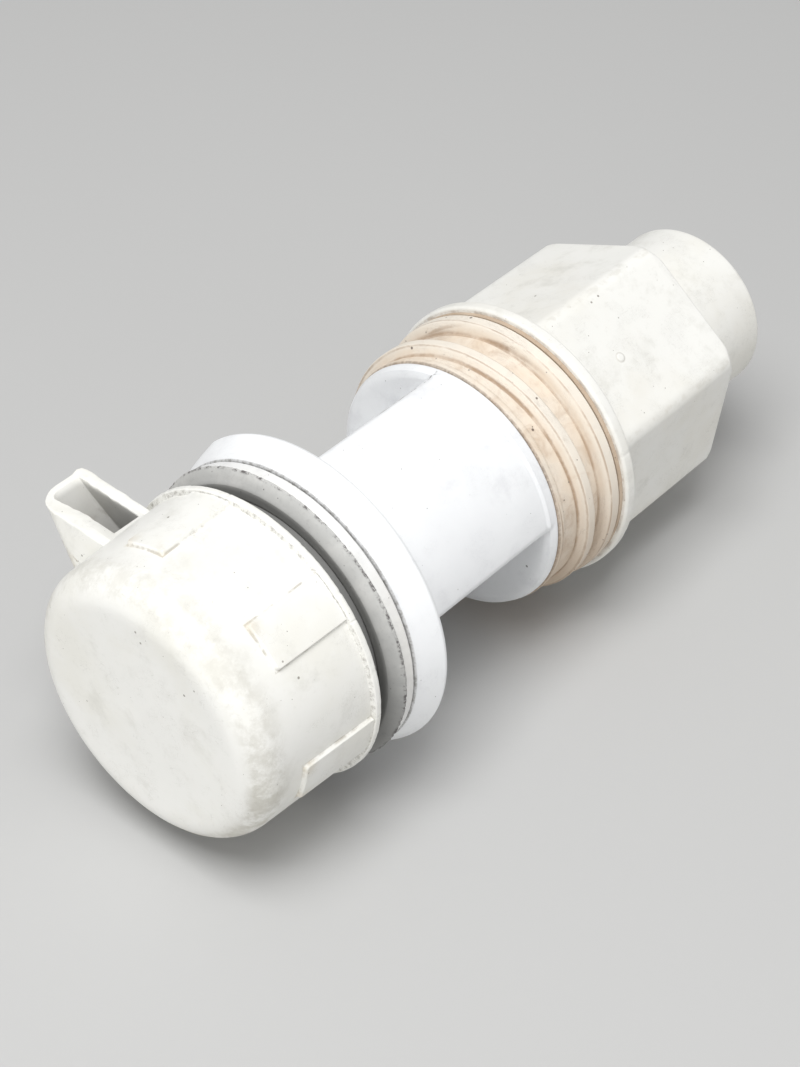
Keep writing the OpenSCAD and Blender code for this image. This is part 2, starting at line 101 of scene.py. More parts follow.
def around(step, fine=()):
    # angles round the axis in degrees, closer together near the given places (centre, half width, step)
    found = list(np.arange(0, 360, step))
    for centre, half, small in fine:
        found = [f for f in found if abs((f - centre + 180) % 360 - 180) > half + small / 2]
        found += list(centre + np.arange(-half, half + small / 2, small))
    return np.unique(np.round(np.mod(found, 360), 4))


def outline(rows, step, closed, fine):
    # rows are (x, radius, rounding); gives close points along the rounded outline
    rows = [tuple(row) + (0,) * (3 - len(row)) for row in rows]
    count = len(rows)
    points = []
    for i, (x, r, rounding) in enumerate(rows):
        here = np.array([x, r], float)
        if not rounding or (not closed and i in (0, count - 1)):
            points.append(here)
            continue
        before = np.array(rows[i - 1][:2]) - here
        after = np.array(rows[(i + 1) % count][:2]) - here
        lengthBefore, lengthAfter = np.linalg.norm(before), np.linalg.norm(after)
        before, after = before / lengthBefore, after / lengthAfter
        half = math.acos(float(np.clip(before @ after, -1, 1))) / 2
        back = min(rounding / math.tan(half), 0.49 * lengthBefore, 0.49 * lengthAfter)
        middle = before + after
        centre = here + middle / np.linalg.norm(middle) * back / math.cos(half)
        first, last = here + before * back - centre, here + after * back - centre
        bend = math.pi - 2 * half
        steps = max(3, math.ceil(math.degrees(bend) / bendStep))
        for k in range(steps + 1):
            t = k / steps
            swung = math.sin((1 - t) * bend) * first + math.sin(t * bend) * last
            points.append(centre + swung / math.sin(bend))
    if closed:
        points.append(points[0])
    made = []
    for a, b in zip(points, points[1:]):
        # long lines are cut where they run into and out of a finer stretch
        along = b[0] - a[0]
        stretches = fine if abs(along) > 0.01 else ()
        edges = [centre + sign * half for centre, half, small in stretches for sign in (-1, 1)]
        cuts = [(edge - a[0]) / along for edge in edges]
        shares = sorted([0.0, 1.0] + [cut for cut in cuts if 0.001 < cut < 0.999])
        for low, high in zip(shares, shares[1:]):
            middle = a[0] + along * (low + high) / 2
            near = [small for centre, half, small in stretches if abs(middle - centre) < half]
            parts = max(1, math.ceil(np.linalg.norm(b - a) * (high - low) / min([step] + near)))
            made += [a + (b - a) * (low + (high - low) * k / parts) for k in range(parts)]
    if not closed:
        made.append(points[-1])
    kept = [made[0]]
    for p in made[1:]:
        if np.linalg.norm(p - kept[-1]) > 1e-4:
            kept.append(p)
    kept = np.array(kept)
    return kept[:, 0], kept[:, 1]


def meshObject(name, points, faces):
    mesh = bpy.data.meshes.new(name)
    mesh.from_pydata(np.asarray(points).tolist(), [], faces)
    mesh.polygons.foreach_set("use_smooth", np.ones(len(mesh.polygons), bool))
    mesh.update()
    piece = bpy.data.objects.new(name, mesh)
    bpy.context.scene.collection.objects.link(piece)
    work = bmesh.new()
    work.from_mesh(mesh)
    bmesh.ops.recalc_face_normals(work, faces=work.faces)
    if work.calc_volume(signed=True) < 0:
        bmesh.ops.reverse_faces(work, faces=work.faces)
    work.to_mesh(mesh)
    work.free()
    return piece


def turnPiece(name, rows, angles, change=None, step=0.9, closed=True, fine=()):
    # turns an outline round the X axis, with change(x, radius, angle) shaping the surface
    x, r = outline(rows, step, closed, fine)
    turned = np.asarray(angles, float)
    gridX = np.repeat(x[:, None], len(turned), 1)
    gridR = np.repeat(r[:, None], len(turned), 1)
    gridA = np.repeat(turned[None, :], len(x), 0)
    if change:
        gridX, gridR = change(gridX, gridR, gridA)
    a = np.radians(gridA)
    grid = np.stack([gridX, -gridR * np.sin(a), gridR * np.cos(a)], 2) * mm
    rowCount, columnCount = grid.shape[:2]
    points = grid.reshape(-1, 3)
    faces = []
    last = rowCount if closed else rowCount - 1
    for i in range(last):
        j = (i + 1) % rowCount
        here, after = i * columnCount, j * columnCount
        poleHere, poleNext = not closed and i == 0, not closed and j == rowCount - 1
        for k in range(columnCount):
            n = (k + 1) % columnCount
            if poleHere:
                faces.append((0, after + k, after + n))
            elif poleNext:
                faces.append((here + k, here + n, after))
            else:
                faces.append((here + k, here + n, after + n, after + k))
    used = sorted({v for f in faces for v in f})
    place = {v: n for n, v in enumerate(used)}
    faces = [tuple(place[v] for v in f) for f in faces]
    return meshObject(name, points[used], faces)


def stackedPiece(name, levels):
    # joins outlines with the same number of points into one closed form; levels are arrays of (x, y, z)
    levels = np.asarray(levels, float)
    rowCount, columnCount = levels.shape[:2]
    points = list(levels.reshape(-1, 3) * mm)
    faces = []
    for i in range(rowCount - 1):
        here, after = i * columnCount, (i + 1) * columnCount
        for k in range(columnCount):
            n = (k + 1) % columnCount
            faces.append((here + k, here + n, after + n, after + k))
    for i in (0, rowCount - 1):
        here, centre = i * columnCount, len(points)
        points.append(levels[i].mean(0) * mm)
        faces += [(here + k, here + (k + 1) % columnCount, centre) for k in range(columnCount)]
    return meshObject(name, points, faces)


def combine(piece, tool, operation):
    cutter = piece.modifiers.new("cut", "BOOLEAN")
    cutter.operation = operation
    cutter.object = tool
    cutter.solver = "MANIFOLD"
    graph = bpy.context.evaluated_depsgraph_get()
    made = bpy.data.meshes.new_from_object(piece.evaluated_get(graph))
    piece.modifiers.clear()
    old = piece.data
    piece.data = made
    made.name = piece.name
    bpy.data.meshes.remove(old)
    bpy.data.objects.remove(tool)


def coat(piece, material):
    piece.data.materials.clear()
    piece.data.materials.append(material)


def creaseEdges(piece, limit):
    # keeps the meeting lines of joined forms crisp and everything else smooth
    work = bmesh.new()
    work.from_mesh(piece.data)
    bmesh.ops.dissolve_degenerate(work, edges=work.edges, dist=1e-7)
    bmesh.ops.delete(work, geom=[edge for edge in work.edges if not edge.link_faces], context="EDGES")
    for face in work.faces:
        face.smooth = True
    for edge in work.edges:
        edge.smooth = not (len(edge.link_faces) == 2 and edge.calc_face_angle(0) > math.radians(limit))
    work.to_mesh(piece.data)
    work.free()


class Wire:
    # one output of a shader node, so that shader maths reads as plain expressions
    def __init__(self, finish, socket):
        self.finish, self.socket = finish, socket

    def maths(self, operation, *values):
        return self.finish.add("Math", {"operation": operation}, dict(enumerate(values)))

    def __add__(self, other):
        return self.maths("ADD", self, other)

    def __radd__(self, other):
        return self.maths("ADD", other, self)

    def __sub__(self, other):
        return self.maths("SUBTRACT", self, other)

    def __rsub__(self, other):
        return self.maths("SUBTRACT", other, self)

    def __mul__(self, other):
        return self.maths("MULTIPLY", self, other)

    def __abs__(self):
        return self.maths("ABSOLUTE", self)

    def ramp(self, low, high, start=0.0, end=1.0):
        # smooth change from start to end while the value goes from low to high
        return self.finish.add("MapRange", {"interpolation_type": "SMOOTHSTEP"},
                               {0: self, 1: low, 2: high, 3: start, 4: end})

    def line(self, centre, width, soft):
        # 1 near the centre value and 0 away from it
        return abs(self - centre).ramp(width + soft, width)

    def bigger(self, other):
        return self.maths("MAXIMUM", self, other)

    def smaller(self, other):
        return self.maths("MINIMUM", self, other)

    def wrapped(self, period):
        return self.maths("FLOORED_MODULO", self, period)

    def root(self):
        return self.maths("SQRT", self)


class Finish:
    # a material with the coordinates that every finish here starts from
    def __init__(self, name):
        self.material = bpy.data.materials.new(name)
        self.material.use_nodes = True
        self.tree = self.material.node_tree
        self.tree.nodes.clear()
        self.output = self.tree.nodes.new("ShaderNodeOutputMaterial")
        self.shader = self.tree.nodes.new("ShaderNodeBsdfPrincipled")
        self.tree.links.new(self.shader.outputs[0], self.output.inputs[0])
        raw = self.add("TexCoord", {}, {}, "Object")
        self.place = self.add("VectorMath", {"operation": "SCALE"}, {0: raw, "Scale": 1 / mm}, "Vector")
        parts = [self.add("SeparateXYZ", {}, {0: self.place}, axis) for axis in "XYZ"]
        self.x, self.y, self.z = parts
        self.radius = (self.y * self.y + self.z * self.z).root()
        self.angle = self.z.maths("ARCTAN2", self.y * -1.0, self.z) * (180 / math.pi)

    def add(self, kind, settings, sockets, out=0):
        # makes any shader node: its settings first, then values or links on its sockets
        node = self.tree.nodes.new("ShaderNode" + kind)
        for key, value in settings.items():
            setattr(node, key, value)
        for key, value in sockets.items():
            if isinstance(value, Wire):
                self.tree.links.new(value.socket, node.inputs[key])
            else:
                node.inputs[key].default_value = value
        return Wire(self, node.outputs[out])

    def noise(self, scale, detail=3.0, rough=0.55, stretch=(1, 1, 1), shift=(0, 0, 0), warp=0.0):
        moved = {"Vector": self.place, "Scale": stretch, "Location": shift}
        sockets = {"Scale": scale, "Detail": detail, "Roughness": rough, "Distortion": warp}
        return self.add("TexNoise", {}, {"Vector": self.add("Mapping", {}, moved, "Vector"), **sockets})

    def spots(self, scale, shift=(0, 0, 0)):
        place = self.add("Mapping", {}, {"Vector": self.place, "Location": shift}, "Vector")
        return self.add("TexVoronoi", {"feature": "F1"}, {"Vector": place, "Scale": scale}, "Distance")

    def blend(self, share, first, second):
        # colour mix: first where share is 0 and second where it is 1
        first = first if isinstance(first, Wire) else (*first, 1)
        second = second if isinstance(second, Wire) else (*second, 1)
        return self.add("Mix", {"data_type": "RGBA"}, {0: share, 6: first, 7: second}, 2)

    def finishWith(self, colour, roughness, height, strength, distance, **fixed):
        sockets = {"Strength": strength, "Distance": distance * mm, "Height": height}
        bump = self.add("Bump", {}, sockets, "Normal")
        for key, value in (("Base Color", colour), ("Roughness", roughness), ("Normal", bump)):
            if isinstance(value, Wire):
                self.tree.links.new(value.socket, self.shader.inputs[key])
            else:
                self.shader.inputs[key].default_value = value
        for key, value in fixed.items():
            self.shader.inputs[key.replace("_", " ")].default_value = value
        return self.material


def mouldedPlastic(name, look, marks=None):
    # white moulded plastic with its yellowing, smears (pale blue ones are painted reflection), specks,
    # scratches and grime in the corners
    f = Finish(name)
    seed = look["seed"]
    cloud = f.noise(0.05, 4, 0.6, shift=(seed, 0, 0))
    patch = f.noise(0.14, 6, 0.66, shift=(0, seed, 0), warp=0.15)
    fine = f.noise(0.9, 4, 0.6, shift=(0, 0, seed))
    grain = f.noise(5.0, 3, 0.6)
    colour = f.blend(cloud.ramp(0.4, 0.66), look["colour"], look["tint"])
    # smear patches; where the smear colour is pale blue they are painted reflection
    smearAndReflection = patch.ramp(0.52, 0.74) * look["smearAndReflection"]
    colour = f.blend(smearAndReflection, colour, look["smearAndReflectionColour"])
    colour = f.blend(fine.ramp(0.56, 0.8) * look["mottle"], colour, look["smearAndReflectionColour"])
    # specks: small dark dots in a few of the cells only
    dots = f.spots(0.34, (seed, 3, 5)).ramp(0.085, 0.05)
    dots = dots * f.noise(0.4, 1, shift=(9, 0, seed)).ramp(0.56, 0.6)
    tiny = f.spots(0.95, (1, seed, 2)).ramp(0.1, 0.06) * f.noise(0.8, 1, shift=(4, 4, seed)).ramp(0.6, 0.64)
    speck = dots.bigger(tiny) * look["speck"]
    colour = f.blend(speck, colour, look["speckColour"])
    # scratches: thin lines along two directions, kept to some areas
    lineA = f.noise(0.5, 2, 0.5, (1, 7, 1), (0, seed, 0), 0.3).line(0.5, 0.002, 0.006)
    lineB = f.noise(0.45, 2, 0.5, (6, 1, 1.5), (seed, 0, 0), 0.3).line(0.5, 0.002, 0.006)
    scratch = lineA.bigger(lineB) * f.noise(0.22, 2, shift=(2, 7, seed)).ramp(0.52, 0.6)
    colour = f.blend(scratch * look["scratch"], colour, look["smearAndReflectionColour"])
    if marks:
        colour = marks(f, colour, patch, fine)
    roughness = look["roughness"] + (patch - 0.5) * 0.22 + speck * 0.2 + (grain - 0.5) * 0.08
    height = grain * look["grain"] + fine * 0.5 + patch * 1.6 - scratch * 0.5 - speck * 0.6
    return f.finishWith(colour, roughness, height, 0.5, 0.05, IOR=1.49, Specular_IOR_Level=look["shine"])


whitePlastic = {
    "colour": (0.84, 0.835, 0.80), "tint": (0.80, 0.79, 0.735), "smearAndReflectionColour": (0.60, 0.59, 0.54),
    "speckColour": (0.16, 0.14, 0.11), "smearAndReflection": 0.4, "mottle": 0.18, "speck": 0.75, "scratch": 0.45,
    "roughness": 0.42, "grain": 0.5, "shine": 0.45, "seed": 3.0,
}

# cap: a cup that turns on the neck, with grip pads, a bead round its rim and one hooded outlet
capSizes = {
    "wallRadius": 22.9, "taper": 0.041, "frontRounding": 4.8, "beadWidth": 1.45, "beadRounding": 0.55,
    "boreRadius": 20.5, "noseRadius": 17.5, "frontThickness": 2.6, "noseLength": 4.4, "wallWave": 0.035,
    "ringGrooveFromRim": 2.5, "ringGrooveWidth": 1.2, "ringGrooveRadius": 21.65,
    "slotRadius": 12.0, "slotHalfWidth": 1.5, "slotDepth": 1.4,
    "padCount": 6, "padAngle": 19.5, "padStart": -16.4, "padHeight": 0.6, "padLength": 13.3, "padEdge": 0.32,
    "padCorner": 0.7,
}


def padDistance(x, radius, angle):
    # distance inside the nearest pad's edge in millimetres, below 0 outside it
    s = capSizes
    pitch = 360 / s["padCount"]
    off = np.abs((angle - s["padStart"] + pitch / 2) % pitch - pitch / 2)
    side = np.radians(s["padAngle"] / 2 - off) * radius
    front = x - (capHigh.x - s["beadWidth"] - s["padLength"])
    corner = s["padCorner"]
    inner = np.hypot(np.clip(corner - side, 0, None), np.clip(corner - front, 0, None))
    return np.where((side < corner) & (front < corner), corner - inner, np.minimum(side, front))


def capSurface(x, r, a):
    s = capSizes
    rim = capHigh.x
    wall = (r > s["boreRadius"] + 0.7) & (x < rim - s["beadWidth"] + 0.02) & (x > capLow.x + 1.2)
    pad = smooth(padDistance(x, r, a), -0.06, s["padEdge"]) * s["padHeight"]
    wave = wander(11, a, x, 7, 2, 9, 0.25) * s["wallWave"]
    r = r + np.where(wall, pad * smooth(x, capLow.x + 4, capLow.x + 6) + wave * smooth(-x, 12.8, 14.5), 0)
    # knocks and moulding chips along the bead
    bead = (r > s["wallRadius"] + 0.3) & (x > rim - s["beadWidth"] - 0.05)
    chips = np.clip(wander(23, a, 0, 14, 20, 150, 0) - 1.0, 0, 1.2)
    r = r - np.where(bead, chips * 0.16 + np.abs(wander(24, a, 0, 9, 12, 60, 0)) * 0.03, 0)
    edge = (x > rim - 0.3) & (r > s["boreRadius"] + 0.5)
    x = x - np.where(edge, np.clip(wander(25, a, 0, 12, 14, 120, 0) - 0.6, 0, 1) * 0.14, 0)
    # the front face is not dead flat
    face = (x < capLow.x + 0.01) & (r < 18)
    sunk = 0.06 + 0.05 * wander(31, a, r, 6, 1, 4, 0.2)
    x = x + np.where(face, sunk * smooth(17.5 - r, 0, 6), 0)
    return np.maximum(x, capLow.x), r


def padFine():
    s = capSizes
    half = s["padAngle"] / 2
    middle = [s["padStart"] + k * 360 / s["padCount"] for k in range(s["padCount"])]
    return [(m + sign * half, 2.0, 0.25) for m in middle for sign in (-1, 1)]


def makeCap():
    s = capSizes
    rim, front = capHigh.x, capLow.x
    inner = front + s["frontThickness"]
    crease = rim - s["beadWidth"]
    beadRadius = -capLow.z
    frontRadius = s["wallRadius"] - s["taper"] * (crease - front)
    grooveX = rim - s["ringGrooveFromRim"]
    grooveEnd = grooveX + s["ringGrooveWidth"]
    slotOut, slotIn = s["slotRadius"] + s["slotHalfWidth"], s["slotRadius"] - s["slotHalfWidth"]
    slotFloor = inner - s["slotDepth"]
    rows = [
        (front, 0), (front, frontRadius, s["frontRounding"]), (crease, s["wallRadius"], 0.12),
        (crease + 0.12, beadRadius - 0.12, 0.3), (rim - 0.1, beadRadius, s["beadRounding"]),
        (rim, s["boreRadius"] + 0.5, 0.5), (rim - 0.4, s["boreRadius"], 0.1),
        (grooveEnd, s["boreRadius"]), (grooveEnd, s["ringGrooveRadius"]),
        (grooveX, s["ringGrooveRadius"]), (grooveX, s["boreRadius"]),
        (inner + s["noseLength"], s["boreRadius"]), (inner + s["noseLength"], s["noseRadius"]),
        (inner, s["noseRadius"], 0.3), (inner, slotOut), (slotFloor, slotOut), (slotFloor, slotIn),
        (inner, slotIn), (inner, 0),
    ]
    fine = [(crease - s["padLength"], 0.9, 0.12), (crease, 0.5, 0.12)]
    return turnPiece("cap", rows, around(1.0, padFine()), capSurface, 0.9, False, fine)


# hood: a scoop on the cap's side, open at the top, with uneven moulded lips
hoodSizes = {
    "fromRim": 3.0, "width": 9.7, "frontWall": 2.9, "rearWall": 2.0, "flare": 1.5, "footY": 21.2,
    "footZ": 4.6, "mouthZ": 15.8, "mouthFall": 1.0, "backWall": 2.62, "tipWall": 0.9, "tipRounding": 4.2,
    "rearRounding": 1.0, "lipRounding": 0.28, "throatZ": 14.2, "throatY": 17.6, "lipWave": 0.1,
    "frontSlant": 0.6, "notchDepth": 0.45,
}


def roundedPlan(x0, x1, y0, y1, frontRound, rearRound, count=64):
    # outline seen from above: square at y0, with two rounded corners at y1, evenly spaced points
    corners = [(x0, y0, 0.01), (x1, y0, 0.01), (x1, y1, rearRound), (x0, y1, frontRound)]
    x, y = outline(corners, 50, True, ())
    loop = np.stack([np.append(x, x[0]), np.append(y, y[0])], 1)
    along = np.concatenate([[0], np.cumsum(np.linalg.norm(np.diff(loop, axis=0), axis=1))])
    at = np.linspace(0, along[-1], count, endpoint=False)
    return np.stack([np.interp(at, along, loop[:, 0]), np.interp(at, along, loop[:, 1])], 1)


def hoodLevels(grow, hollow):
    s = hoodSizes
    x1 = capHigh.x - s["fromRim"]
    x0 = x1 - s["width"]
    reachY, mouth, lip = capHigh.y, s["mouthZ"], s["lipRounding"]
    levels = []
    if hollow:
        upper = list(np.linspace(mouth - 0.9, mouth + 0.05, 9)) + [mouth + 1.2, mouth + 3]
    else:
        upper = list(mouth - np.array([0.9, 0.7, 0.5, 0.36, 0.24, 0.14, 0.06, 0.02, 0.0]))
    for z in list(np.linspace(s["footZ"], mouth - 1.2, 16)) + upper:
        share = (z - s["footZ"]) / (mouth - s["footZ"])
        flare = s["flare"] * (1 - min(share, 1))
        outY = s["footY"] + (reachY - s["footY"]) * share
        toLip = mouth - z
        # how far the rounded lip stands back at this height
        back = lip - math.sqrt(max(lip ** 2 - max(lip - max(toLip, 0), 0) ** 2, 0)) if toLip < lip else 0
        if hollow:
            mouthX0, mouthX1 = x0 - flare + s["frontWall"] - back, x1 + flare - s["rearWall"] + back
            wall = s["backWall"] + (s["tipWall"] - s["backWall"]) * smooth(share, 0, 1)
            plan = roundedPlan(mouthX0, mouthX1, grow, outY - wall + back, 1.3, 0.7)
            slant = s["frontSlant"] * smooth(plan[:, 1], 22, reachY - 1.5)
            plan[:, 0] -= slant * np.clip((mouthX1 - plan[:, 0]) / (mouthX1 - mouthX0), 0, 1)
        else:
            plan = roundedPlan(x0 - flare + back, x1 + flare - back, 12, min(outY, reachY) - back - 0.02,
                               s["tipRounding"] * (0.4 + 0.6 * share), s["rearRounding"])
        x, y = plan.T
        fall = s["mouthFall"] * (reachY - y) / (reachY - 16) * min(share, 1)
        # the lips wander a little, and a small notch sits where the back wall meets the rear wall
        nearLip = np.clip(1 - toLip / 2.0, 0, 1)
        u = np.arange(len(plan))
        uneven = np.sin(u * 1.7 + (3 if hollow else 0)) * 0.5 + np.sin(u * 0.83 + 1) * 0.5
        notch = smooth(y, reachY - 5.5, reachY - 1.5) * smooth(x1 - x, 1.0, 1.8) * s["notchDepth"]
        drop = fall + (0 if hollow else notch * nearLip)
        levels.append(np.stack([x + uneven * s["lipWave"] * nearLip * (y > 20), y, z - drop], 1))
    return levels


def makeHood(cap):
    s = hoodSizes
    combine(cap, stackedPiece("hoodForm", hoodLevels(0, False)), "UNION")
    combine(cap, stackedPiece("hoodHollow", hoodLevels(s["throatY"], True)), "DIFFERENCE")
    low = [level for level in hoodLevels(12, True) if level[:, 2].max() < s["throatZ"]]
    combine(cap, stackedPiece("hoodThroat", low), "DIFFERENCE")


capPiece = makeCap()
print("cap turned")
makeHood(capPiece)
creaseEdges(capPiece, 38)
print("hood joined to the cap")


def capMarks(f, colour, patch, fine):
    # dirt in the pads' corners and the bead's crease, grime rubbed over the front rounding that grows darker
    # towards the bottom as painted shade, and painted shade inside the hood and behind the rim
    s = capSizes
    rim, front, wall = capHigh.x, capLow.x, s["wallRadius"]
    crease = rim - s["beadWidth"]
    pitch = 360 / s["padCount"]
    turned = (f.angle - (s["padStart"] - pitch / 2)).wrapped(pitch)
    side = (s["padAngle"] / 2 - abs(turned - pitch / 2)) * (math.pi / 180 * wall)
    ahead = f.x - (crease - s["padLength"])
    inside = side.smaller(ahead)
    dash = f.noise(0.35, 4, 0.7, shift=(5, 2, 8)).ramp(0.42, 0.62)
    onWall = f.radius.ramp(wall - 0.9, wall - 0.7) * f.x.ramp(crease + 0.1, crease)
    padLine = abs(inside + 0.02).ramp(0.22, 0.05) * onWall * f.x.ramp(front + 6, front + 7)
    colour = f.blend(padLine * dash * 0.6, colour, (0.38, 0.34, 0.27))
    creaseLine = f.x.line(crease + 0.04, 0.03, 0.1) * f.radius.ramp(wall - 0.5, wall - 0.3)
    flecks = f.noise(0.8, 5, 0.8, shift=(7, 1, 3)).ramp(0.44, 0.66)
    colour = f.blend(creaseLine * flecks * 0.55, colour, (0.17, 0.15, 0.12))
    rimLine = f.x.line(rim, 0.04, 0.12) * f.noise(1.0, 5, 0.8, shift=(1, 9, 3)).ramp(0.48, 0.62)
    colour = f.blend(rimLine * 0.65, colour, (0.12, 0.11, 0.10))
    shoulder = f.x.ramp(front + 0.1, front + 1.2) * f.x.ramp(front + 7.5, front + 3.5)
    rubbed = f.noise(0.24, 6, 0.7, shift=(3, 3, 3), warp=0.15).ramp(0.38, 0.6)
    # painted shade: the rubbed grime is made darker towards the bottom
    low = f.z.ramp(14, -8, 0.55, 1.0)
    colour = f.blend(shoulder * rubbed * low * (0.4 + fine * 0.65), colour, (0.52, 0.50, 0.435))
    corner = side.ramp(3.4, 0.3) * inside.ramp(-0.5, 0.1) * ahead.ramp(3.0, 0.3) * onWall
    colour = f.blend(corner * rubbed * 0.5, colour, (0.60, 0.53, 0.40))
    # painted shade inside the hood, darker deeper down, and on the rim's face behind the cap
    h = hoodSizes
    x1 = rim - h["fromRim"]
    x0 = x1 - h["width"]
    mouth, tall = h["mouthZ"], h["mouthZ"] - h["footZ"]
    slope = (capHigh.y - h["footY"]) / tall
    under = ((f.z - h["footZ"]) * slope + h["footY"] - f.y).ramp(0.3, 0.8)
    flare = (mouth - f.z) * (h["flare"] / tall)
    within = (f.x + flare).ramp(x0 + 1.4, x0 + 1.7) * (f.x - flare).ramp(x1 - 1.2, x1 - 1.5)
    hollow = under * within * f.y.ramp(16.5, 17) * f.z.ramp(mouth - 0.5, mouth - 1.4)
    depth = f.z.ramp(mouth - 0.5, mouth - 7, 0.5, 0.92)
    colour = f.blend(hollow * depth * (0.8 + patch * 0.3), colour, (0.27, 0.265, 0.25))
    # painted shade on the inner part of the rim's face, where the gap is in shadow
    behind = f.x.ramp(rim - 0.25, rim - 0.02) * f.radius.ramp(22.6, 21.9)
    return f.blend(behind * 0.8, colour, (0.16, 0.155, 0.145))


coat(capPiece, mouldedPlastic("agedWhiteCap", whitePlastic, capMarks))
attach(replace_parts(capPiece, "cap_shell"), "cap")
print("cap finished")

# body: neck inside the cap, flange, stem with two flats, round collar, and the barrel inside the sleeve
bodySizes = {
    "noseRadius": 17.2, "noseLength": 3.4, "neckRadius": 20.4, "neckEnd": 3.2, "chamberRadius": 16.0,
    "boreRadius": 11.0, "flangeThickness": 5.0, "flangeFront": 24.0, "stemRadius": 20.7, "stemFlat": 14.35,
    "flatAngle": 127.0, "stemLength": 29.9, "collarThickness": 2.0, "collarRounding": 1.3,
    "barrelRadius": 17.6, "barrelBore": 14.6, "barrelFloor": 0.15, "flangeFlat": 24.6,
    "flangeFlatAngle": -64.0, "fillet": 0.8,
    "sealFloor": 19.15, "ringFloor": 19.4, "edgeRounding": 0.8, "low": 14.0, "wave": 0.035,
    "port": (-22.2, -17.7, 6.5, 13.5), "sealFromRing": (12.0, 2.5), "sealWidth": 1.6, "ringWidth": 1.2,
    "scoreAngle": -7.6,
    "chamberWall": 2.0, "headRounding": 0.35, "barrelChamfer": 0.3,
}


def stemRadius(a):
    s = bodySizes
    facing = np.abs(np.cos(np.radians(a - s["flatAngle"])))
    return softMin(s["stemRadius"] + 0 * a, s["stemFlat"] / np.maximum(facing, 0.05), s["edgeRounding"])


def flangeEdge(r, a):
    s = bodySizes
    facing = np.cos(np.radians(a - s["flangeFlatAngle"]))
    return softMin(r, np.where(facing > 0.1, s["flangeFlat"] / np.maximum(facing, 0.1), 99.0), 0.25)


def bodySurface(x, r, a):
    # the outline carries the stem at the radius "low"; here it grows to the flatted stem's own radius
    s = bodySizes
    low, stem, rounding = s["low"], s["stemLength"], s["collarRounding"]
    own = stemRadius(a)
    edge, collarLow = -bodyLow.z - 0.3, s["stemRadius"] - rounding
    outer = (r > low - 0.01) & (x > -0.001)
    onStem = outer & (x < stem - 0.001) & (r < low + s["fillet"] + 0.01)
    face = outer & (np.abs(x) < 0.001) & (r < edge - 0.25)
    head = outer & (np.abs(x - stem) < 0.001) & (r < collarLow + 0.001)
    onCollar = outer & (x > stem + 0.001) & (x < stem + rounding + 0.01) & (r > collarLow - 0.01)
    foot = own + s["fillet"]
    faceShare = (r - low - s["fillet"]) / (edge - 0.25 - low - s["fillet"])
    headShare = (r - low) / (collarLow - low)
    madeR = np.where(face, foot + faceShare * (flangeEdge(edge - 0.25 + 0 * a, a) - foot), r)
    madeR = np.where(onStem & ~face, r + own - low, madeR)
    rim = np.maximum(collarLow, own)
    madeR = np.where(head, own + headShare * (rim - own), madeR)
    madeR = np.where(onCollar, np.maximum(r, own), madeR)
    # on the round sides there is no step, so the rings of points spread along the stem instead
    level = smooth(s["stemRadius"] - own, 0.05, 1.6)
    madeX = np.where(head, x - (1 - headShare) * (1 - level) * 0.6, x)
    flange = (x > -s["flangeThickness"] - 0.01) & (x < 0.01) & (r > s["stemRadius"] + 2)
    madeR = np.where(flange & ~face, flangeEdge(madeR, a), madeR)
    wave = wander(41, a, x, 6, 2, 7, 0.15) * s["wave"] * (smooth(x, 0.5, 3) + flange * 0.6)
    wavy = (onStem & ~face) | (flange & (r < 25.6) & (x > -4.5) & (x < -0.8))
    return madeX, madeR + np.where(wavy, wave, 0)


def makeBody():
    s = bodySizes
    start, end = bodyLow.x, bodyHigh.x
    stem, collarEnd = s["stemLength"], s["stemLength"] + s["collarThickness"]
    neckStart, flangeX, floorX = start + s["noseLength"], -s["flangeThickness"], collarEnd + s["barrelFloor"]
    neck, low, rounding = s["neckRadius"], s["low"], s["collarRounding"]
    ringX = capHigh.x - capSizes["ringGrooveFromRim"]
    boreX, edge = flangeX - s["chamberWall"], -bodyLow.z
    grooves = [(ringX - offset, s["sealFloor"], s["sealWidth"]) for offset in s["sealFromRing"]]
    rows = [(start, 0), (start, s["noseRadius"], 0.4), (neckStart, s["noseRadius"]), (neckStart, neck, 0.3)]
    for x, floor, width in grooves + [(ringX, s["ringFloor"], s["ringWidth"])]:
        rows += [(x, neck), (x, floor), (x + width, floor), (x + width, neck)]
    rows += [
        (flangeX, neck), (flangeX, s["flangeFront"], 0.45), (-0.6, edge, 0.5), (0, edge - 0.3, 0.25),
        (0, low, s["fillet"]), (stem, low, s["headRounding"]), (stem, s["stemRadius"] - rounding),
        (stem + rounding * 0.3, s["stemRadius"] - rounding * 0.3), (stem + rounding, s["stemRadius"]),
        (collarEnd, s["stemRadius"], 0.3), (collarEnd, s["barrelRadius"]),
        (end, s["barrelRadius"], s["barrelChamfer"]), (end, s["barrelBore"], s["barrelChamfer"]),
        (floorX, s["barrelBore"]), (floorX, s["boreRadius"], 0.4), (boreX, s["boreRadius"], 0.4),
        (boreX, s["chamberRadius"]), (start + s["neckEnd"], s["chamberRadius"]), (start + s["neckEnd"], 0),
    ]
    half = math.degrees(math.acos(s["stemFlat"] / s["stemRadius"]))
    fine = [(s["flatAngle"] + turn + sign * half, 3.0, 0.5) for turn in (0, 180) for sign in (-1, 1)]
    return turnPiece("flangedBody", rows, around(1.5, fine), bodySurface, 0.9, False, [(15, 16, 1.4)])


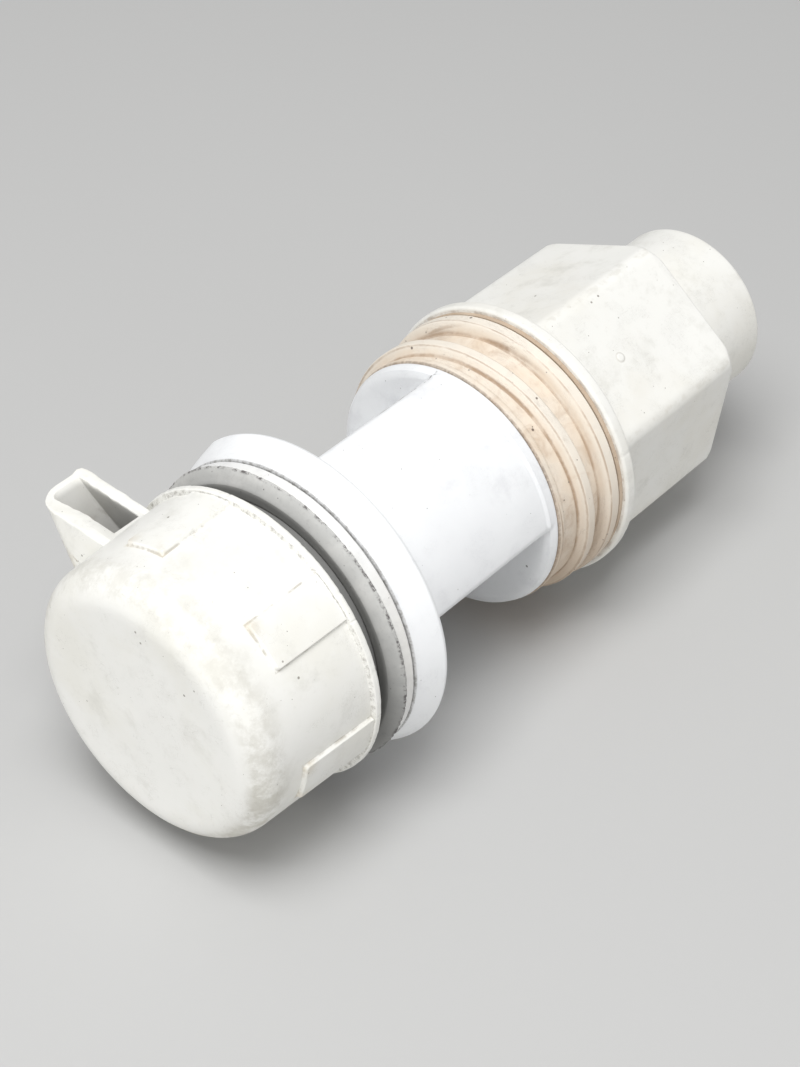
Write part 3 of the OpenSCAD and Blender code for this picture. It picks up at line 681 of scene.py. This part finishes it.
def makePort(body):
    x0, x1, z0, z1 = bodySizes["port"]
    levels = []
    for z in (z0, z0 + 0.12, z0 + 0.45, z0 + 1.0, z1 - 1.0, z1 - 0.45, z1 - 0.12, z1):
        inset = 1.0 - math.sqrt(1 - (1 - min(z - z0, z1 - z, 1.0)) ** 2)
        plan = roundedPlan(x0 + inset, x1 - inset, 8, 24, 0.05, 0.05)
        levels.append(np.stack([plan[:, 0], plan[:, 1], plan[:, 0] * 0 + z], 1))
    combine(body, stackedPiece("portForm", levels), "DIFFERENCE")


bodyPiece = makeBody()
makePort(bodyPiece)
creaseEdges(bodyPiece, 40)
print("body turned")

# the pale blue smear colour paints soft reflections along the stem
cleanPlastic = {
    "colour": (0.87, 0.88, 0.89), "tint": (0.84, 0.85, 0.862), "smearAndReflectionColour": (0.67, 0.675, 0.70),
    "speckColour": (0.14, 0.13, 0.11), "smearAndReflection": 0.45, "mottle": 0.08, "speck": 0.8, "scratch": 0.3,
    "roughness": 0.36, "grain": 0.35, "shine": 0.5, "seed": 17.0,
}


def bodyMarks(f, colour, patch, fine):
    # faint dirt where the flange meets the stem and on the flange's edge
    s = bodySizes
    foot = f.x.line(0.1, 0.15, 0.6) * f.radius.line(s["stemRadius"] + 0.5, 0.3, 0.5)
    dash = f.noise(0.6, 3, 0.6, shift=(2, 5, 1)).ramp(0.4, 0.66)
    colour = f.blend(foot * dash * 0.35, colour, (0.45, 0.42, 0.36))
    worn = f.noise(0.9, 4, 0.7, shift=(6, 1, 4)).ramp(0.4, 0.66, 0.45, 1.0)
    colour = f.blend(f.x.line(-s["flangeThickness"], 0.1, 0.2) * worn * 0.75, colour, (0.16, 0.15, 0.13))
    # a scored line along the stem beside one flat, and painted shade on the neck in the gap behind the cap
    scored = f.angle.line(s["scoreAngle"], 0.25, 0.5) * f.x.ramp(17, 19)
    scored = scored * f.x.ramp(s["stemLength"] + 1.5, s["stemLength"] + 1.0)
    scored = scored * f.noise(0.5, 5, 0.75, shift=(4, 4, 1)).ramp(0.46, 0.54)
    colour = f.blend(scored * 0.8, colour, (0.14, 0.13, 0.11))
    # painted shade on the neck between the cap's rim and the gasket
    gap = f.x.ramp(-13.0, -12.4) * f.x.ramp(-8.0, -8.6)
    return f.blend(gap * 0.85, colour, (0.10, 0.098, 0.09))


coat(bodyPiece, mouldedPlastic("cleanWhiteBody", cleanPlastic, bodyMarks))
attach(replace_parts(bodyPiece, "flanged_body"), "body")
print("body finished")

# thin white ring and grey gasket in the gap
ringSizes = {
    "wearInner": 20.5, "wearRounding": 0.4, "gasketInner": 20.5, "gasketFace": 22.3, "fray": 0.16,
    "sag": 0.05,
}


def wearSurface(x, r, a):
    out = r > 23
    r = r - np.where(out, np.abs(wander(51, a, 0, 8, 5, 60, 0)) * 0.03, 0)
    return x + np.where(out, wander(52, a, 0, 6, 2, 9, 0) * 0.02, 0), r


def gasketSurface(x, r, a):
    s = ringSizes
    out = smooth(r, 23.6, 24.3)
    torn = np.clip(wander(61, a, 0, 14, 20, 160, 0) - 0.7, 0, 1.4)
    r = r - out * (np.abs(wander(62, a, 0, 10, 12, 90, 0)) * 0.07 + torn * s["fray"])
    face = smooth(r, 20.9, 22.5) * (x < gasketHigh.x - 0.1)
    return x + face * (np.abs(wander(63, a, r, 7, 2, 10, 0.5)) * s["sag"]), r


wearPiece = turnPiece("wearRing", [
    (wearLow.x, ringSizes["wearInner"]), (wearLow.x, wearHigh.z, 0.35),
    (wearHigh.x, wearHigh.z, ringSizes["wearRounding"]), (wearHigh.x, ringSizes["wearInner"])],
    around(1.0), wearSurface, 0.5)
gasketPiece = turnPiece("wiperGasket", [
    (gasketLow.x, ringSizes["gasketInner"]), (gasketLow.x, ringSizes["gasketFace"], 0.25),
    (gasketHigh.x - 0.3, gasketHigh.z, 0.12), (gasketHigh.x, gasketHigh.z, 0.08),
    (gasketHigh.x, ringSizes["gasketInner"])], around(0.6), gasketSurface, 0.3)

ringPlastic = dict(cleanPlastic, seed=29.0, speck=0.7, smearAndReflection=0.3)
ringPlastic.update(colour=(0.85, 0.85, 0.84), tint=(0.80, 0.79, 0.76))


def wearMarks(f, colour, patch, fine):
    edge = f.x.line(wearLow.x, 0.08, 0.3) * f.noise(1.2, 3, 0.7, shift=(3, 8, 1)).ramp(0.5, 0.64)
    return f.blend(edge * 0.7, colour, (0.12, 0.11, 0.10))


coat(wearPiece, mouldedPlastic("whiteRing", ringPlastic, wearMarks))
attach(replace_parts(wearPiece, "wear_ring"), "body")


def rubber(name, look):
    # matt rubber with pale bloom, dark specks and a scuffed edge; with a scuff value it also gets painted
    # shade, darker towards the bottom and towards the inner edge
    f = Finish(name)
    seed = look["seed"]
    cloud = f.noise(0.12, 4, 0.6, shift=(seed, 0, 0))
    fine = f.noise(1.6, 4, 0.65, shift=(0, seed, 0))
    colour = f.blend(cloud.ramp(0.38, 0.68), look["colour"], look["bloom"])
    colour = f.blend(fine.ramp(0.5, 0.75) * 0.3, colour, look["dark"])
    some = f.noise(0.5, 1, shift=(3, seed, 5)).ramp(0.5, 0.55)
    dots = f.spots(0.7, (2, seed, 1)).ramp(0.1, 0.05) * some
    colour = f.blend(dots * 0.7, colour, look["speck"])
    if look["scuff"]:
        # painted shade: darker towards the bottom and towards the inner edge, where the cap's rim shades the
        # gasket
        low = f.z.ramp(16, -12) * 0.78
        colour = f.blend(low, colour, look["low"])
        colour = f.blend(f.radius.ramp(22.9, 21.4) * 0.75, colour, look["deep"])
        torn = f.noise(0.9, 5, 0.8, shift=(8, 3, 2)).ramp(0.47, 0.6)
        scuff = f.radius.ramp(gasketHigh.z - 0.4, gasketHigh.z - 0.1) * torn
        colour = f.blend(scuff * look["scuff"], colour, look["speck"])
    height = fine * 1.0 + f.noise(6.0, 2, 0.6) * 0.4
    roughness = look["roughness"] + (cloud - 0.5) * 0.2
    return f.finishWith(colour, roughness, height, 0.5, 0.06, IOR=1.5, Specular_IOR_Level=0.35)


# low and deep are the colours of the painted shade on the gasket
greyRubber = {"colour": (0.50, 0.50, 0.485), "bloom": (0.60, 0.595, 0.575), "dark": (0.36, 0.36, 0.35),
              "speck": (0.07, 0.06, 0.06), "low": (0.17, 0.17, 0.165), "deep": (0.10, 0.10, 0.095),
              "roughness": 0.62, "scuff": 0.85, "seed": 7.0}
blackRubber = {"colour": (0.035, 0.035, 0.036), "bloom": (0.06, 0.06, 0.06), "dark": (0.02, 0.02, 0.02),
               "speck": (0.12, 0.11, 0.1), "roughness": 0.5, "scuff": 0.0, "seed": 13.0}
brownWasher = {"colour": (0.50, 0.39, 0.29), "bloom": (0.60, 0.49, 0.38), "dark": (0.25, 0.18, 0.12),
               "speck": (0.06, 0.04, 0.03), "roughness": 0.7, "scuff": 0.0, "seed": 19.0}

coat(gasketPiece, rubber("greyGasket", greyRubber))
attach(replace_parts(gasketPiece, "wiper_gasket"), "body")
print("rings in the gap made")

# sleeve: tan, aged, with one coarse rounded thread and a band at its inboard end
sleeveSizes = {
    "inner": 17.65, "root": 20.7, "crest": 22.3, "pitch": 7.0, "turns": 1.2, "start": -130.0, "fade": 0.15,
    "ridgeTop": 0.75, "ridgeFoot": 1.6, "bandWidth": 2.2, "bandSlope": 0.7, "first": 1.82,
}


def sleeveSurface(x, r, a):
    s = sleeveSizes
    outer = r > s["root"] - 0.4
    full = s["crest"] - s["root"]
    ridge = np.zeros_like(x)
    for lap in (-1, 0, 1, 2):
        t = (a - s["start"]) / 360 + lap
        along = np.clip(np.minimum(t, s["turns"] - t) / s["fade"], 0, 1)
        centre = sleeveLow.x + s["first"] + t * s["pitch"]
        wide = 1 + 0.06 * wander(71, a, 0, 5, 2, 7, 0)
        fall = (np.abs(x - centre) / wide - s["ridgeTop"]) / (s["ridgeFoot"] - s["ridgeTop"])
        h = full * (1 - np.clip(fall, 0, 1) * 0.6 - smooth(fall, 0, 1) * 0.4)
        ridge = np.maximum(ridge, h * smooth(along, 0, 1))
    bandStart = sleeveHigh.x - s["bandWidth"] + 0.12 * wander(72, a, 0, 4, 1, 4, 0)
    band = (sleeveHigh.z - s["root"]) * smooth(x, bandStart - s["bandSlope"], bandStart + 0.15)
    foot = 0.22 * (1 - smooth(x, sleeveLow.x + 0.9, sleeveLow.x + 1.5))
    wave = wander(73, a, x, 7, 2, 16, 0.8) * 0.03
    step = np.maximum(np.maximum(ridge, band), foot * (1 - smooth(ridge, 0.0, 0.5)))
    edge = smooth(np.minimum(x - sleeveLow.x, sleeveHigh.x - x), 0, 0.35)
    made = r + step * np.where(outer, 1, 0) * (0.82 + 0.18 * edge) + np.where(outer, wave * edge, 0)
    return x, np.minimum(made, sleeveHigh.z)


sleevePiece = turnPiece("threadedSleeve", [
    (sleeveLow.x, sleeveSizes["inner"]), (sleeveLow.x, sleeveSizes["root"], 0.3),
    (sleeveHigh.x, sleeveSizes["root"], 0.3), (sleeveHigh.x, sleeveSizes["inner"])],
    around(1.25), sleeveSurface, 0.9, True, [((sleeveLow.x + sleeveHigh.x) / 2, 7, 0.14)])


def agedTan(name):
    # plastic aged to tan, cream on its crests, with brown lines at the feet of the thread, runs and specks
    s = sleeveSizes
    f = Finish(name)
    cloud = f.noise(0.09, 5, 0.62, shift=(4, 0, 0))
    patch = f.noise(0.3, 5, 0.65, shift=(0, 6, 0), warp=0.7)
    fine = f.noise(1.5, 4, 0.6)
    high = f.radius.ramp(s["root"] + 0.3, s["crest"])
    colour = f.blend(cloud.ramp(0.35, 0.66), (0.77, 0.66, 0.535), (0.84, 0.765, 0.665))
    colour = f.blend(high * 0.6, colour, (0.87, 0.82, 0.735))
    # painted shade: darker towards the bottom
    colour = f.blend(f.z.ramp(12, -14) * 0.75, colour, (0.60, 0.48, 0.365))
    # the place across the thread, counted from the middle of its ridge
    turned = (f.angle - s["start"]) * (s["pitch"] / 360)
    across = (f.x - (sleeveLow.x + s["first"]) - turned + s["pitch"] / 2).wrapped(s["pitch"])
    across = abs(across - s["pitch"] / 2 + (fine - 0.5) * 0.12)
    body = f.x.ramp(sleeveLow.x + 0.3, sleeveLow.x + 0.7) * f.x.ramp(sleeveHigh.x - 2.3, sleeveHigh.x - 2.7)
    worn = f.noise(0.16, 5, 0.7, shift=(5, 5, 2)).ramp(0.34, 0.6, 0.35, 1.0)
    feet = across.line(s["ridgeFoot"], 0.08, 0.2) * 0.9
    tops = across.line(s["ridgeTop"] + 0.1, 0.03, 0.1) * 0.6
    bandX = sleeveHigh.x - s["bandWidth"]
    bandFoot = f.x.line(bandX - s["bandSlope"], 0.06, 0.22)
    bandTop = f.x.line(bandX + 0.15, 0.03, 0.12) * 0.7
    lines = (feet.bigger(tops) * body).bigger(bandFoot * 0.8).bigger(bandTop) * worn
    colour = f.blend(lines, colour, (0.37, 0.25, 0.16))
    deep = f.radius.ramp(s["root"] + 0.5, s["root"]) * patch.ramp(0.42, 0.68)
    colour = f.blend(deep * 0.4, colour, (0.50, 0.36, 0.245))
    colour = f.blend(patch.ramp(0.56, 0.78) * 0.3, colour, (0.58, 0.43, 0.30))
    ringLines = f.noise(1.0, 3, 0.6, (9, 0.35, 0.35), (1, 2, 3)).line(0.5, 0.004, 0.014)
    ringLines = ringLines * cloud.ramp(0.46, 0.62)
    colour = f.blend(ringLines * 0.4, colour, (0.40, 0.28, 0.19))
    endLine = f.x.line(sleeveHigh.x, 0.08, 0.2).bigger(f.x.line(sleeveLow.x, 0.1, 0.25) * 0.8)
    colour = f.blend(endLine * fine.ramp(0.3, 0.6, 0.4, 1.0) * 0.8, colour, (0.20, 0.14, 0.10))
    small = f.spots(0.6, (2, 8, 1)).ramp(0.1, 0.05) * f.noise(0.5, 1, shift=(3, 1, 5)).ramp(0.48, 0.53)
    big = f.spots(0.26, (5, 1, 4)).ramp(0.075, 0.045) * f.noise(0.3, 1, shift=(8, 4, 1)).ramp(0.5, 0.53)
    speck = small.bigger(big)
    colour = f.blend(speck * 0.85, colour, (0.09, 0.06, 0.045))
    roughness = 0.46 + (patch - 0.5) * 0.3 + speck * 0.2
    height = fine * 0.8 + patch * 1.6 + lines * -1.2 - ringLines * 0.6 - speck * 0.7
    return f.finishWith(colour, roughness, height, 0.55, 0.07, IOR=1.5, Specular_IOR_Level=0.45)


coat(sleevePiece, agedTan("agedTanThread"))
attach(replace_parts(sleevePiece, "threaded_sleeve"), "body")
print("sleeve made")

# hexagon piece: lip, hexagon with softened corners, fillet and round collar with the pipe's socket
tailSizes = {
    "shankRadius": 14.5, "bore": 8.5, "socket": 10.1, "pocket": 12.7, "lipThickness": 2.2,
    "lipRounding": 0.55, "corner": 21.9, "firstCorner": 7.8, "chamfer": 0.9, "soft": 0.45, "blunt": 0.4,
    "domeRadius": 14.3, "domeRounding": 1.4, "fillet": 2.4, "low": 18.0, "edge": 0.45,
    "dotX": 57.7, "dotAngle": 37.8, "dotRadius": 0.75, "dotHeight": 0.16, "faceRadius": 19.0,
    "domeLength": 17.0, "faceHollow": 0.10, "play": 0.02, "sealDepth": 1.8, "socketDepth": 12.0,
}
tailLipX = washerHigh.x + tailSizes["play"]
lipEndX = tailLipX + tailSizes["lipThickness"]
hexEndX = tailHigh.x - tailSizes["domeLength"]


def hexRadius(x, a):
    s = tailSizes
    flat = (s["corner"] + s["blunt"]) * math.cos(math.pi / 6)
    off = (a - s["firstCorner"]) % 60 - 30
    face = flat / np.cos(np.radians(off))
    cone = s["corner"] - np.clip(x - (hexEndX - s["chamfer"]), 0, None)
    middle = smooth(26 - np.abs(off), 0, 18) * smooth(x, 48.5, 53) * smooth(hexEndX - x, 1, 6)
    hollow = middle * s["faceHollow"]
    return softMin(softMin(face, s["corner"] + 0 * face, s["soft"]), cone + 0 * face, 0.25) - hollow


def tailSurface(x, r, a):
    # the outline carries the hexagon at the radius "low"; here it grows to the hexagon's own radius
    s = tailSizes
    own = hexRadius(x, a)
    low, soft, foot = s["low"], s["edge"], s["domeRadius"] + s["fillet"]
    top = tailHigh.z - s["lipRounding"]
    onHex = (x > lipEndX + 0.001) & (x < hexEndX + 0.001) & (r > low - soft - 0.001)
    back = (np.abs(x - lipEndX) < 0.001) & (r > low - 0.01) & (r < top)
    face = (np.abs(x - hexEndX) < 0.001) & (r < low - soft) & (r > foot - 0.01)
    made = np.where(onHex, r + own - low, r)
    made = np.where(back, own + (r - low) / (top - low) * (top - own), made)
    made = np.where(face, foot + (r - foot) / (low - soft - foot) * (own - soft - foot), made)
    arc = np.radians((a - s["dotAngle"] + 180) % 360 - 180) * s["faceRadius"]
    dot = 1 - smooth(np.hypot(x - s["dotX"], arc), s["dotRadius"] * 0.7, s["dotRadius"])
    made = made + np.where(onHex, dot * s["dotHeight"], 0)
    wave = wander(81, a, x, 7, 2, 9, 0.12) * 0.04
    lipChip = np.clip(wander(82, a, 0, 12, 15, 110, 0) - 1.0, 0, 1) * 0.06
    onLip = (x < lipEndX + 0.01) & (r > top - 0.3) & (x > tailLipX - 0.01)
    dome = (x > hexEndX + s["fillet"]) & (r > s["domeRadius"] - 1) & (x < tailHigh.x - 1)
    made = made + np.where(onHex & (x > lipEndX + 1) & (x < hexEndX - 1), wave, 0)
    return x, made - np.where(onLip, lipChip, 0) + np.where(dome, wave * 0.7 - 0.03, 0)


def makeTail():
    s = tailSizes
    start, end, shank, lip = tailLow.x, tailHigh.x, s["shankRadius"], tailHigh.z
    sealLow, sealHigh = reach("barrel_seal")
    pocketX = reach("pipe_seal")[0].x - 0.05
    stopX = pocketX - s["socketDepth"]
    sealFloor = sealHigh.z - s["sealDepth"] - s["play"]
    rows = [
        (start, s["bore"], 0.3), (start, shank, 0.4), (sealLow.x - 0.1, shank), (sealLow.x - 0.1, sealFloor),
        (sealHigh.x + 0.1, sealFloor), (sealHigh.x + 0.1, shank), (tailLipX, shank),
        (tailLipX, lip, s["lipRounding"]), (lipEndX, lip, s["lipRounding"]), (lipEndX, s["low"], 0.3),
        (hexEndX, s["low"], s["edge"]), (hexEndX, s["domeRadius"], s["fillet"]),
        (end, s["domeRadius"], s["domeRounding"]), (end, s["pocket"], 0.15), (pocketX, s["pocket"]),
        (pocketX, s["socket"]), (stopX, s["socket"]), (stopX, s["bore"], 0.3),
    ]
    fine = [(s["dotX"], 1.2, 0.14), (hexEndX - 1.5, 1.6, 0.4)]
    turned = [(s["firstCorner"] + 60 * k, 4.0, 0.5) for k in range(6)] + [(s["dotAngle"], 3.6, 0.4)]
    return turnPiece("hexTail", rows, around(1.5, turned), tailSurface, 1.1, True, fine)


tailPiece = makeTail()
print("hexagon piece turned")

agedPlastic = dict(whitePlastic, seed=37.0, smearAndReflection=0.5, mottle=0.25, tint=(0.80, 0.785, 0.73))


def tailMarks(f, colour, patch, fine):
    # dirt behind the lip, along the hexagon's corners and round the gate mark
    s = tailSizes
    behind = f.x.line(lipEndX, 0.05, 0.2) * f.noise(0.4, 5, 0.7, shift=(1, 4, 7)).ramp(0.45, 0.66)
    colour = f.blend(behind * 0.35, colour, (0.45, 0.41, 0.34))
    lipEdge = f.x.line(tailLipX, 0.05, 0.2) * f.radius.ramp(23.15, 22.85)
    lipEdge = lipEdge * f.noise(0.35, 5, 0.7, shift=(6, 2, 9)).ramp(0.4, 0.64)
    colour = f.blend(lipEdge * 0.5, colour, (0.36, 0.28, 0.21))
    turned = (f.angle - (s["firstCorner"] - 30)).wrapped(60)
    ridge = abs(turned - 30.0).ramp(2.2, 0.6) * f.x.ramp(48, 49) * f.x.ramp(77, 76)
    ridge = ridge * f.noise(0.5, 3, 0.6, shift=(2, 2, 5)).ramp(0.45, 0.65)
    colour = f.blend(ridge * 0.3, colour, (0.56, 0.53, 0.46))
    arc = (f.angle - s["dotAngle"]) * (math.pi / 180 * s["faceRadius"])
    ahead = f.x - s["dotX"]
    dot = (ahead * ahead + arc * arc).root().line(s["dotRadius"], 0.06, 0.14)
    return f.blend(dot * 0.35, colour, (0.45, 0.42, 0.36))


coat(tailPiece, mouldedPlastic("agedWhiteHexagon", agedPlastic, tailMarks))
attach(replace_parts(tailPiece, "hex_tail"), "tail")

retainerPiece = turnPiece("socketRetainer", [
    (retainerLow.x, tailSizes["socket"], 0.3), (retainerLow.x, retainerHigh.z, 0.2),
    (retainerHigh.x, retainerHigh.z, 0.25), (retainerHigh.x, tailSizes["socket"], 0.7)],
    around(3.0), None, 0.8)
coat(retainerPiece, mouldedPlastic("agedWhiteRetainer", dict(agedPlastic, seed=43.0)))
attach(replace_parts(retainerPiece, "socket_retainer"), "tail")
print("hexagon piece finished")


def metal(name, look):
    # stainless spring steel with turning lines and dull patches
    f = Finish(name)
    cloud = f.noise(0.3, 4, 0.6)
    lines = f.noise(2.0, 3, 0.6, (8, 0.6, 0.6))
    colour = f.blend(cloud.ramp(0.4, 0.7), look["colour"], look["dull"])
    roughness = look["roughness"] + (lines - 0.5) * 0.25
    return f.finishWith(colour, roughness, lines, 0.3, 0.02, Metallic=1.0)


# inner pieces keep their CAD shape and take these finishes
steel = metal("springSteel", {"colour": (0.62, 0.63, 0.65), "dull": (0.45, 0.45, 0.46), "roughness": 0.32})
black = rubber("blackSeal", blackRubber)
brown = rubber("brownWasher", brownWasher)
natural = mouldedPlastic("naturalPlastic", dict(whitePlastic, seed=53.0, speck=0.2, scratch=0.2))
nodeFinishes = {
    "neck_seal_front": black, "neck_seal_rear": black, "port_seal": black, "barrel_seal": black,
    "pipe_seal": black, "retaining_ring": steel, "stop_pin": steel, "grab_ring": steel, "lip_washer": brown,
    "thrust_washer": natural, "spacer_ring": natural, "sleeve_keys": natural,
}
for node, finish in nodeFinishes.items():
    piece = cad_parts[node]
    coat(piece, finish)
    piece.data.polygons.foreach_set("material_index", np.zeros(len(piece.data.polygons), np.int32))
print("inner pieces finished")

# camera, floor and lights
stageLook = {
    "cameraPlace": (-198.85, -187.58, 243.87), "right": (0.6516, -0.7586, 0.0),
    "down": (-0.4928, -0.4233, -0.7602), "forward": (0.5767, 0.4953, -0.6497), "lens": 84.35,
    "floorHalf": 3.0, "floorDrop": 0.0002, "floorColour": (0.52, 0.52, 0.515),
    "world": (1.0, 1.0, 1.0), "worldStrength": 0.43,
}


def makeCamera():
    s = stageLook
    data = bpy.data.cameras.new("camera")
    data.lens, data.sensor_width, data.sensor_fit = s["lens"], 36.0, "AUTO"
    data.clip_start, data.clip_end = 0.02, 20.0
    camera = bpy.data.objects.new("camera", data)
    bpy.context.scene.collection.objects.link(camera)
    right, up, back = Vector(s["right"]), -Vector(s["down"]), -Vector(s["forward"])
    turned = Matrix((right, up, back)).transposed().to_quaternion().normalized().to_matrix().to_4x4()
    camera.matrix_world = Matrix.Translation(Vector(s["cameraPlace"]) * mm) @ turned
    bpy.context.scene.camera = camera


def makeFloor():
    s = stageLook
    half, level = s["floorHalf"], cadBox[0].z - s["floorDrop"]
    mesh = bpy.data.meshes.new("floor")
    corners = [(-half, -half, level), (-half, half, level), (half, -half, level), (half, half, level)]
    mesh.from_pydata(corners, [], [(0, 2, 3, 1)])
    floor = bpy.data.objects.new("floor", mesh)
    bpy.context.scene.collection.objects.link(floor)
    f = Finish("paleFloor")
    cloud = f.noise(0.004, 3, 0.5)
    colour = f.blend(cloud, s["floorColour"], tuple(v * 0.98 for v in s["floorColour"]))
    mesh.materials.append(f.finishWith(colour, 0.8, cloud, 0.05, 0.1, Specular_IOR_Level=0.2))


def softLight(name, place, aim, size, power):
    data = bpy.data.lights.new(name, "AREA")
    data.shape, data.energy = "RECTANGLE", power
    data.size, data.size_y = size
    light = bpy.data.objects.new(name, data)
    bpy.context.scene.collection.objects.link(light)
    way = Vector(aim) - Vector(place)
    light.location = place
    light.rotation_mode = "QUATERNION"
    light.rotation_quaternion = way.to_track_quat("-Z", "Y")


makeCamera()
makeFloor()
world = bpy.data.worlds.new("studio")
bpy.context.scene.world = world
world.use_nodes = True
world.node_tree.nodes["Background"].inputs[0].default_value = (*stageLook["world"], 1)
world.node_tree.nodes["Background"].inputs[1].default_value = stageLook["worldStrength"]
middle = (0.03, 0.0, 0.0)
softLight("overhead", (-0.22, -0.10, 0.75), middle, (0.45, 0.45), 5.7)
softLight("front", (-0.8, -0.10, 0.05), middle, (0.3, 0.3), 1.9)
softLight("side", (0.12, -0.75, 0.2), middle, (0.5, 0.4), 0.6)
bpy.context.scene.view_settings.view_transform = "Standard"
print("stage set")
